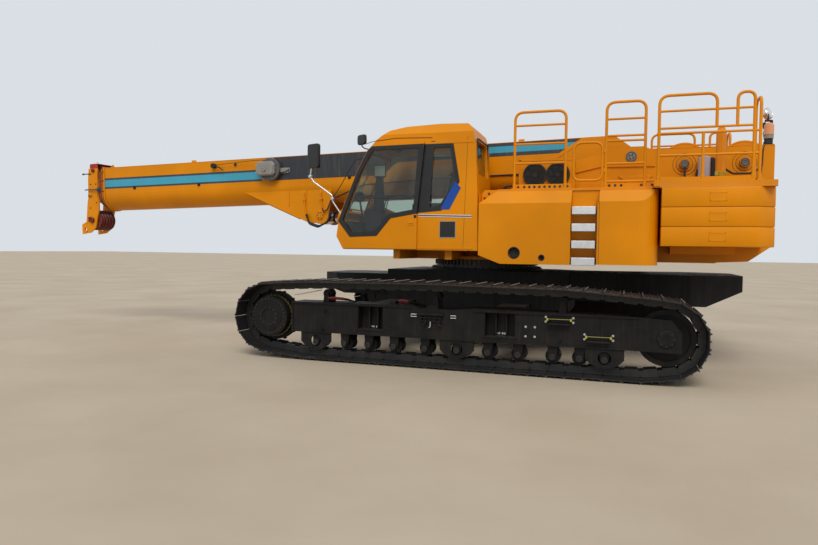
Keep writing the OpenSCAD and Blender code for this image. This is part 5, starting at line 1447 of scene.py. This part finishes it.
post.append(tube([(-3.89, 0.352, 3.385), (-3.89, 0.347, 3.32), (-3.89, 0.505, 3.32), (-3.89, 0.5, 3.385)],
    0.008, 0.03))
piece = joined(post)
put(piece, "lamp_post", "rubber")
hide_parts("work_lamps")
put(drum(-3.912, 0.43, 3.09, 0.06, 0.05, "z", [(0.004, 0.003)], 32, 0.004), "beacon_base", "cover_grey")
beacon = drum(-3.912, 0.43, 3.182, 0.064, 0.13, "z", [(0.006, 0.012), (0.014, 0.014), (0.018, 0.008)], 32,
    0.005)
put(beacon, "beacon", "amber")
aim = Matrix.Translation(at(-3.885, 0.43, 3.398)) @ turn(radians(24), "Y") @ turn(radians(-35), "Z")
lamp = drum(0, 0, 0, 0.08, 0.062, "-x", [(0.005, 0.004), (0.004, -0.01), (0.01, -0.004)], 40, 0.006, aim)
put(lamp, "work_lamp", "chrome")
put(drum(-0.0325, 0, 0, 0.067, 0.008, "-x", [(0.012, 0.003), (0.02, 0.002)], 36, 0.001, aim),
    "work_lamp_glass", "clear")


# ---------------------------------------------------------------- boom: markings, lugs, head, reel, bracket, cylinder
FACE = 0.3               # side face of the base section
HEAD = 9.8               # start of the boom head along the boom


def stand(x, y, z, direction):
    """The matrix that stands a pattern on the boom: +Z of the pattern along the direction."""
    return BOOM @ move(x, y, z) @ toward(direction)


def on_boom(points, y0, y1, bevel=0.0):
    return prism(points, y0, y1, bevel, BOOM)


def both_faces(points, lift=0.0015, bevel=0.0):
    """A paint film on each side of the base section."""
    return joined([on_boom(points, *sorted((s * (FACE - 0.0005), s * (FACE + lift))), bevel) for s in
        (-1, 1)])


def band(x0, x1, z0, z1):
    return [(x0, z0), (x1, z0), (x1, z1), (x0, z1)]


put([both_faces(band(6.12, 9.57, -0.021, 0.11)), both_faces(band(0.57, 3.18, 0.195, 0.292))], "boom_stripes",
    "stripe_blue", "boom")
edges = [band(6.12, 9.57, 0.11, 0.147), band(6.12, 9.57, -0.054, -0.021), band(9.57, 9.576, -0.054, 0.147),
    band(0.57, 3.18, 0.292, 0.341), band(0.57, 3.18, 0.14, 0.195), band(0.562, 0.57, 0.14, 0.341)]
put([both_faces(e) for e in edges], "boom_stripe_borders", "stripe_edge", "boom")
put(both_faces([(5.88, -0.054), (5.88, 0.341), (3.18, 0.341), (3.18, 0.14), (3.6, 0.14), (3.85, -0.054)]),
    "boom_panel", "boom_grey", "boom")

# Rails for the hoses along the top, cable lugs and guides on the sides, lifting lugs
parts = []
for x in (6.62, 8.05, 9.35, 2.4):
    parts.append(box((x - 0.03, -0.012, 0.347), (x + 0.03, 0.012, 0.372), 0.003, BOOM))
    parts.append(box((x - 0.05, -0.035, 0.37), (x + 0.05, 0.035, 0.382), 0.003, BOOM))
parts.append(on_boom([(9.6, 0.345), (9.69, 0.345), (9.675, 0.425), (9.645, 0.452), (9.615, 0.425)], -0.01,
    0.01, 0.003))
for s in (-1, 1):
    parts += [box((x - 0.045, s * 0.2 - 0.01, 0.345), (x + 0.045, s * 0.2 + 0.01, 0.4), 0.004, BOOM) for x in
        (1.6, 7.6)]
    # Weld bead where the bent trough meets the flat top, and the joint ring of the base section
    parts.append(tube([(0.3, s * 0.298, 0.345), (9.54, s * 0.298, 0.345)], 0.0055, 0, matrix=BOOM))
    parts.append(on_boom(band(5.8, 9.55, -0.158, -0.15), *sorted((s * 0.2985, s * 0.3015)), 0.001))
put(parts, "boom_lugs", "yellow", "boom")
parts = []
for s in (-1, 1):
    for x in (8.865, 7.428, 4.45):
        parts.append(drum(x, s * (FACE + 0.012), -0.058, 0.021, 0.026, outward(s),
            [(0.005, 0.006), (0.006, -0.004)], 20, 0.002, BOOM))
        parts.append(box((x - 0.028, s * (FACE + 0.002) - 0.003, -0.088),
            (x + 0.028, s * (FACE + 0.002) + 0.003, -0.03), 0.002, BOOM))
parts.append(drum(7.085, FACE + 0.034, 0.255, 0.045, 0.07, "y", [(0.008, 0.006), (0.02, -0.004)], 28, 0.003,
    BOOM))
parts.append(tube([(7.085, FACE + 0.06, 0.255), (6.96, FACE + 0.066, 0.225), (6.88, FACE + 0.05, 0.165)],
    0.01, 0.04, matrix=BOOM))
parts.append(box((6.63, FACE, 0.238), (6.665, FACE + 0.03, 0.282), 0.004, BOOM))
put(parts, "boom_guides", "rubber", "boom")
hoses = [tube([(0.45, y, 0.372), (3.0, y, 0.362), (6.6, y, 0.362), (9.45, y, 0.362), (9.52, y, 0.375)], 0.01,
    0.05, matrix=BOOM) for y in (-0.055, 0.055)]
put(hoses, "boom_cables", "rubber", "boom")

# Collars: a dark red-brown wiper band on the front collar of each section, its dark colour partly painted shade of
# the collar faces, and the wear pads' screws
def trough_line(half, top, steps=20):
    """Outline of a section across the boom: flat top, upright sides, half-round underside."""
    return [(-half, top), (half, top)] + [(half * cos(t), -0.152 - half * sin(t)) for t in
        [pi * i / steps for i in range(steps + 1)]]


def trough_band(x0, x1, half, top, thick):
    """A band laid round a section between two places along the boom."""
    outer, inner = trough_line(half + thick, top + thick), trough_line(half - 0.001, top - 0.001)
    n = len(outer)
    points = [BOOM @ Vector((x, y, z)) for x in (x0, x1) for line in (outer, inner) for y, z in line]
    faces = []
    for i in range(n):
        k = (i + 1) % n
        faces += [[i, k, 2 * n + k, 2 * n + i], [n + i, n + k, 3 * n + k, 3 * n + i], [i, k, n + k, n + i],
            [2 * n + i, 2 * n + k, 3 * n + k, 3 * n + i]]
    return smooth(mesh_piece("band", points, faces), 40)


for index in range(5):
    body = "boom" if index == 0 else f"section_{index + 1}"
    proud = 0.016 if index else 0.015
    half, top, front = 0.3 - index * 0.025 + proud, 0.348 - index * 0.025 + proud, 9.62 + index * 0.045 - 0.008 * (index == 0)
    put(trough_band(front - 0.015, front + 0.001, half, top, 0.0012), f"collar_wiper_and_shade_{index + 1}", "sheave",
        body)
    screws = [stand(front - 0.028, s * half, z, (0, s, 0)) for s in (-1, 1) for z in (0.27 - index * 0.02,
        0.1, -0.1)]
    screws += [stand(front - 0.028, y, top, (0, 0, 1)) for y in (-0.16, -0.05, 0.05, 0.16)]
    put(copies(bolt(0.0075, 0.006), screws), f"collar_screws_{index + 1}", "sheave", body)

# Boom head: guard over the guide sheaves, rope rods, axle caps and keepers, pin bosses
HEAD_BODY = "section_5"
cheek = 0.214
guard = []
for y0, y1 in ((-0.186, -0.18), (0.18, 0.186)):
    guard.append(on_boom([(9.842, 0.33), (9.842, 0.452), (9.865, 0.46), (10.02, 0.452), (10.036, 0.43),
        (10.036, 0.365)], y0, y1, 0.002))
guard.append(on_boom([(9.842, 0.452), (9.842, 0.462), (10.022, 0.458), (10.038, 0.436), (10.028, 0.43),
    (10.016, 0.45)], -0.186, 0.186, 0.002))
put(guard, "sheave_guard", "red", HEAD_BODY)
caps = []
for s in (-1, 1):
    way = outward(s)
    caps.append(drum(9.965, s * (cheek + 0.02), -0.64, 0.052, 0.028, way, [(0.01, 0.004), (0.014, -0.005)],
        30, 0.003, BOOM))
    caps.append(box((9.98, s * (cheek + 0.008) - 0.009, -0.66), (10.06, s * (cheek + 0.008) + 0.009, -0.575),
        0.004, BOOM))
    caps.append(drum(9.925, s * (cheek + 0.015), 0.325, 0.034, 0.02, way, [(0.008, 0.003), (0.01, -0.004)],
        24, 0.002, BOOM))
put(caps, "head_pin_caps", "sheave", HEAD_BODY)
parts = []
for s in (-1, 1):
    for lx, lz in ((10.01, -0.4), (9.86, -0.3), (10.00, 0.06), (9.87, 0.06)):
        parts.append(stand(lx, s * cheek, lz, (0, s, 0)))
    parts += [stand(10.02 + dx, s * (cheek + 0.017), -0.617 + dz, (0, s, 0)) for dx in (-0.022, 0.022) for dz
        in (-0.024, 0.024)]
put(copies(bolt(0.01, 0.008), parts), "head_bolts", "sheave", HEAD_BODY)
bosses = []
for s in (-1, 1):
    ring = annulus(0, 0, 0, 0.052, 0.031, 0.012, bevel=0.002)
    ring.data.transform(BOOM @ move(10.135, s * (cheek + 0.004), -0.815) @ move(-AXIS_X, -0.006, 0))
    bosses.append(ring)
    bosses.append(on_boom([(10.055, -0.655), (10.112, -0.716), (10.118, -0.664), (10.1, -0.55)],
        *sorted((s * (cheek - 0.001), s * (cheek + 0.008))), 0.002))
bosses += [on_boom([(9.842, 0.16), (9.842, 0.3), (9.9, 0.16)], y - 0.006, y + 0.006, 0.002) for y in
    (-0.12, 0.12)]
bosses += [box((10.048, -0.185, -0.16), (10.062, 0.185, 0.11), 0.004, BOOM)]
put(bosses, "head_bosses", "yellow", HEAD_BODY)
rods = [tube([(9.98, 0.222, 0.262), (10.165, 0.222, 0.262)], 0.01, 0, matrix=BOOM),
    drum(10.168, 0.222, 0.262, 0.017, 0.026, "x", [(0.004, 0.005)], 16, 0.003, BOOM),
    tube([(9.875, -0.175, -0.455), (9.875, 0.175, -0.455)], 0.01, 0, matrix=BOOM),
    tube([(10.085, -0.188, -0.46), (10.085, 0.188, -0.46)], 0.012, 0, matrix=BOOM),
    tube([(10.045, 0.216, -0.14), (10.045, 0.232, -0.165), (10.000, 0.234, -0.18), (9.965, 0.232, -0.16)],
    0.008, 0.02, matrix=BOOM)]
put(rods, "rope_rods", "gear", HEAD_BODY)
fitting = [box((9.715, 0.222, -0.095), (9.795, 0.272, -0.01), 0.008, BOOM),
    drum(9.755, 0.278, -0.052, 0.024, 0.02, "y", [(0.006, 0.004)], 20, 0.002, BOOM),
    tube([(9.75, 0.25, -0.052), (9.92, 0.246, -0.05), (10.1, 0.24, -0.046)], 0.011, 0, matrix=BOOM),
    tube([(9.795, 0.25, -0.052), (9.835, 0.248, -0.052)], 0.018, 0, matrix=BOOM)]
put(fitting, "length_sensor_rod", "stripe_edge", HEAD_BODY, "dark_paint")
put([drum(10.1, 0.24, -0.046, 0.015, 0.03, "x", [(0.004, 0.004)], 16, 0.003, BOOM),
    drum(9.848, 0.18, 0.47, 0.01, 0.034, "z", [(0.003, 0.003)], 14, 0.002, BOOM)], "rod_ends", "zinc",
    HEAD_BODY)

# Hoist sheaves: rims, webs with round openings and hub rings
sheave_marks = []
step = (2 * 0.214 - 0.056 - 0.02) / 5
for s in (-1, 1):
    y = s * (2.5 * step)
    for r0, r1 in ((0.19, 0.163), (0.085, 0.045)):
        sheave_marks.append(ring_at(BOOM @ move(9.965, y - 0.002, -0.64), r0 - 0.001, r1, 0.004, 0.001))
    sheave_marks += [drum(9.965 + 0.124 * cos(a), y, -0.64 + 0.124 * sin(a), 0.019, 0.004, outward(s),
        [(0.004, -0.002)], 16, 0, BOOM) for a in around(8)]
put(sheave_marks, "sheave_rims", "sheave", "hoist_sheave_set")

# Cable reel: two rimmed discs, the wound cable, the moulded motor housing and its bracket
RX, RZ = 5.915, 0.128
parts = []
for y0 in (0.34, 0.388):
    parts.append(drum(RX, y0 + 0.006, RZ, 0.195, 0.01, "y", [(0.006, 0.002), (0.012, -0.002), (0.05, 0.0),
        (0.02, 0.002)], 56, 0.002, BOOM))
parts.append(drum(RX, 0.32, RZ, 0.12, 0.04, "y", [], 40, 0.003, BOOM))
parts.append(ring_at(BOOM @ move(RX, 0.34, RZ), 0.196, 0.184, 0.06, 0.003))
parts += [tube([(RX + 0.13 * cos(a), 0.399, RZ + 0.13 * sin(a)),
    (RX + 0.18 * cos(a), 0.399, RZ + 0.18 * sin(a))], 0.006, 0, matrix=BOOM) for a in around(12)]
disc = joined(parts)
put(disc, "reel_disc", "engine", "boom")
motor = [(-0.125, -0.07), (-0.085, -0.11), (0.185, -0.11), (0.24, -0.055), (0.24, 0.085), (0.19, 0.135),
    (-0.08, 0.135), (-0.125, 0.08)]
parts = []
parts.append(on_boom([(RX + a, RZ + b) for a, b in motor], 0.399, 0.448, 0.01))
parts.append(on_boom([(RX + 0.055 + (a - 0.055) * 0.9, RZ + 0.012 + (b - 0.012) * 0.88) for a, b in motor],
    0.44, 0.465, 0.008))
parts += [box((RX - 0.02 + i * 0.045, 0.463, RZ - 0.085), (RX - 0.008 + i * 0.045, 0.47, RZ + 0.075), 0.002,
    BOOM) for i in range(4)]
parts.append(drum(RX + 0.06, 0.472, RZ - 0.005, 0.036, 0.016, "y", [(0.008, 0.004), (0.01, -0.004)], 28,
    0.002, BOOM))
reel = joined(parts)
put(reel, "reel", "cover_grey", "boom")
arm = [on_boom([(5.56, 0.085), (5.56, 0.15), (5.62, 0.155), (5.805, 0.155), (5.805, 0.06), (5.62, 0.06)], 0.3,
    0.312, 0.003), on_boom([(5.575, 0.095), (5.575, 0.14), (5.7, 0.146), (5.8, 0.13), (5.8, 0.085),
    (5.7, 0.076)], 0.31, 0.352, 0.006), drum(5.59, 0.345, 0.118, 0.02, 0.05, "y", [(0.004, 0.004)], 20, 0.003,
    BOOM)]
arm = joined(arm)
put(arm, "reel_bracket", "cover_grey", "boom")
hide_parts("cable_reel")
spots = [stand(RX + a, 0.449, RZ + b, (0, 1, 0)) for a, b in ((-0.108, 0.07), (-0.108, -0.065), (0.226, 0.07),
    (0.226, -0.05))]
spots += [stand(5.6 + i * 0.17, 0.313, 0.072, (0, 1, 0)) for i in range(2)]
put(copies(bolt(0.008, 0.006), spots), "reel_bolts", "bright", "boom")
wound = []
for k in range(5):
    r = 0.132 + 0.01 * k
    wound.append(tube(circle(RX, 0.37, RZ, r, 40), 0.0055, 0, sides=1, closed=True, matrix=BOOM))
wound.append(tube([(RX + 0.02, 0.37, RZ + 0.172), (RX + 0.35, 0.368, RZ + 0.172), (7.05, 0.352, 0.266)],
    0.0045, 0.1, matrix=BOOM))
put(wound, "reel_cable", "rubber", "boom")

# Cylinder bracket: ribs and seams on its cheeks, pin caps with their lock plates, pipes and hoses
EYE = (5.008, -0.68)
ribs = []
for s in (-1, 1):
    y0, y1 = sorted((s * 0.284, s * 0.297))
    for lx, top in ((5.262, -0.3), (5.6, -0.28)):
        ribs.append(on_boom([(lx - 0.008, -0.215), (lx + 0.008, -0.215),
            (lx + 0.008, top - 0.36 if lx < 5.5 else top - 0.22),
            (lx - 0.008, top - 0.37 if lx < 5.5 else top - 0.23)], y0, y1, 0.002))
    ring = annulus(0, 0, 0, 0.052, 0.04, 0.005, bevel=0.001)
    place = BOOM @ move(5.455, s * 0.2395, -0.335) @ turn(-s * radians(37.6), "X")
    ring.data.transform(place @ move(-AXIS_X, -0.0025, 0))
    ribs.append(ring)
    ribs.append(on_boom([(6.478, -0.205), (6.478, -0.245), (5.2, -0.815), (5.19, -0.8), (6.462, -0.232),
        (6.462, -0.205)], s * 0.27 - 0.017, s * 0.27 + 0.017, 0.002))
put(ribs, "bracket_ribs", "yellow", "boom")
caps = []
for s in (-1, 1):
    way = outward(s)
    caps.append(drum(EYE[0], s * 0.291, EYE[1], 0.074, 0.014, way,
        [(0.01, 0.004), (0.026, -0.005), (0.012, 0.003)], 36, 0.002, BOOM))
    caps.append(box((EYE[0] - 0.105, s * 0.289 - 0.004, EYE[1] + 0.045),
        (EYE[0] + 0.02, s * 0.289 + 0.006, EYE[1] + 0.085), 0.003, BOOM))
    caps.append(drum(EYE[0], s * 0.262, EYE[1], 0.0585, 0.05, way, [], 36, 0.001, BOOM))
put(caps, "bracket_pin_caps", "yellow", "boom")
spots = [stand(EYE[0] + 0.05 * cos(a), s * 0.301, EYE[1] + 0.05 * sin(a), (0, s, 0)) for s in (-1, 1) for a in
    around(6)]
put(copies(bolt(0.008, 0.006), spots), "bracket_pin_bolts", "gear", "boom")
pipes = []
for k, lx in enumerate((5.3, 4.985)):
    pipes.append(tube([(lx + 0.02, 0.262, -0.225), (lx, 0.302, -0.3), (lx - 0.01, 0.304, -0.45),
        (lx - 0.03, 0.304, -0.56 - 0.1 * (k == 0))], 0.012, 0.06, matrix=BOOM))
    pipes.append(box((lx - 0.035, 0.284, -0.418), (lx + 0.022, 0.318, -0.395), 0.004, BOOM))
put(pipes, "bracket_pipes", "yellow", "boom")
hoses = []
for k in range(3):
    y = 0.312 + 0.016 * k
    hoses.append(tube([(5.27 - k * 0.02, y - 0.01, -0.66), (5.2, y, -0.8 - 0.012 * k),
        (5.02, y + 0.004, -0.862 - 0.014 * k), (4.84, y, -0.8), (4.8 - 0.02 * k, y - 0.02, -0.62)], 0.0125,
        0.09, matrix=BOOM))
hoses.append(tube([(4.955, 0.306, -0.57), (4.93, 0.32, -0.62), (4.86, 0.325, -0.6), (4.82, 0.312, -0.5),
    (4.8, 0.3, -0.43)], 0.01, 0.05, matrix=BOOM))
hoses.append(tube([(4.78, 0.303, -0.42), (4.2, 0.303, -0.2), (3.0, 0.303, -0.155), (1.4, 0.318, -0.15)],
    0.011, 0.3, matrix=BOOM))
put(hoses, "bracket_hoses", "rubber", "boom")

# Boom foot: ring round the pin and edge beads of the doublers
parts = []
for s in (-1, 1):
    parts.append(ring_at(BOOM @ move(0, s * 0.328 - 0.005, 0), 0.148, 0.122, 0.008, 0.002))
    parts.append(on_boom([(0.66, 0.3), (0.7, 0.3), (1.1, 0.06), (1.06, 0.05)], *sorted((s * 0.31, s * 0.317)),
        0.002))
put(parts, "boom_foot_trim", "yellow", "boom")

# Lift cylinder: gland ring with its bolts, ports, pipe with clamps, rod seal and rings at the rod eye
eye = BOOM @ Vector((EYE[0], 0, EYE[1]))
span = eye - RAM_PIN
RAM = Matrix.Translation(RAM_PIN) @ turn(-atan2(span.z, span.x), "Y")
length = span.length
gland = length - 0.26
LENGTHWISE = turn(-pi / 2, "Z")
parts = [ring_at(RAM @ move(gland - 0.105, 0, 0) @ LENGTHWISE, 0.156, 0.148, 0.09, 0.002)]
for x in (0.24, gland - 0.16):
    parts.append(drum(x, 0.0, 0.15, 0.034, 0.045, "z", [(0.006, 0.006), (0.012, -0.004)], 20, 0.002, RAM))
for x in (0.9, 1.9, 2.9):
    parts.append(box((x - 0.02, -0.03, 0.136), (x + 0.02, 0.03, 0.176), 0.005, RAM))
parts.append(tube([(0.24, 0.0, 0.165), (0.38, 0.0, 0.166), (gland - 0.3, 0.0, 0.166),
    (gland - 0.16, 0.0, 0.172)], 0.013, 0.05, matrix=RAM))
put(parts, "barrel_fittings", "yellow", "ram_barrel")
spots = [RAM @ move(gland - 0.002, 0, 0) @ turn(a, "X") @ move(0, 0, 0.12) @ turn(pi / 2, "Y") for a in
    around(12)]
put(copies(bolt(0.011, 0.01), spots), "gland_bolts", "gear", "ram_barrel")
seal = ring_at(RAM @ move(gland + 0.001, 0, 0) @ LENGTHWISE, 0.104, 0.087, 0.016, 0.003)
put(seal, "rod_seal", "rubber", "ram_barrel")
rings = [ring_at(RAM @ move(length - 0.185, 0, 0) @ LENGTHWISE, 0.098, 0.0855, 0.03, 0.004)]
rings += [ring_at(RAM @ move(length, s * 0.096 - 0.003, 0), 0.124, 0.075, 0.006, 0.002) for s in (-1, 1)]
put(rings, "rod_eye_trim", "graphite", "ram_rod")


# ---------------------------------------------------------------- camera, lights and floor
CAMERA_AT = at(-2.155, 10.288, 1.521)
YAW, PITCH, ROLL = radians(-18.607), radians(2.061), radians(0.737)
FOCAL_PIXELS, PICTURE_WIDTH, SENSOR = 648.69, 818, 36.0


def set_camera():
    ahead = Vector((-sin(YAW), -cos(YAW), 0))
    right = Vector((-cos(YAW), sin(YAW), 0))
    up = Vector((0, 0, 1))
    view = ahead * cos(PITCH) - up * sin(PITCH)
    top = up * cos(PITCH) + ahead * sin(PITCH)
    side = right * cos(ROLL) + top * sin(ROLL)
    top = top * cos(ROLL) - right * sin(ROLL)
    data = bpy.data.cameras.new("camera")
    data.sensor_width = SENSOR
    data.lens = FOCAL_PIXELS * SENSOR / PICTURE_WIDTH
    data.clip_end = 400
    camera = in_scene("camera", data)
    camera.matrix_world = Matrix.Translation(CAMERA_AT) @ Matrix((side, top, -view)).transposed().to_4x4()
    bpy.context.scene.camera = camera


def set_light():
    """An overcast sky with a soft high sun from the cab's side."""
    world = bpy.data.worlds.new("studio")
    bpy.context.scene.world = world
    world.use_nodes = True
    net = Net(world.node_tree)
    sky = world.node_tree.nodes["Background"]
    rays = net.add("ShaderNodeLightPath")
    seen = net.math("MAXIMUM", rays.outputs["Is Camera Ray"],
        net.math("MAXIMUM", rays.outputs["Is Glossy Ray"], rays.outputs["Is Transmission Ray"]))
    net.link(net.mix(seen, (0.8, 0.83, 0.88, 1.0), (0.735, 0.78, 0.82, 1.0)), sky.inputs["Color"])
    net.link(net.ramp(seen, 0.0, 1.0, 0.62, 0.95), sky.inputs["Strength"])
    data = bpy.data.lights.new("sun", "SUN")
    data.energy = 1.9
    data.angle = radians(35)
    data.color = (1.0, 0.97, 0.92)
    sun = in_scene("sun", data)
    sun.rotation_euler = (radians(-38), radians(-14), 0)


def set_floor():
    """A wide pale concrete floor with faint patches."""
    only()
    bpy.ops.mesh.primitive_plane_add(size=240, location=(0, 0, 0))
    floor = bpy.context.object
    floor.name = "floor"
    material, net, shader = new_material("Pale concrete")
    place = net.place()
    patches = net.noise(place, 0.5, 6.0)
    net.link(net.mix(net.ramp(patches, 0.35, 0.65), srgb(179, 164, 142), srgb(190, 176, 155)),
        shader.inputs["Base Color"])
    shader.inputs["Roughness"].default_value = 0.85
    floor.data.materials.append(material)


set_camera()
set_light()
set_floor()
view = bpy.context.scene.view_settings
view.view_transform = "Standard"
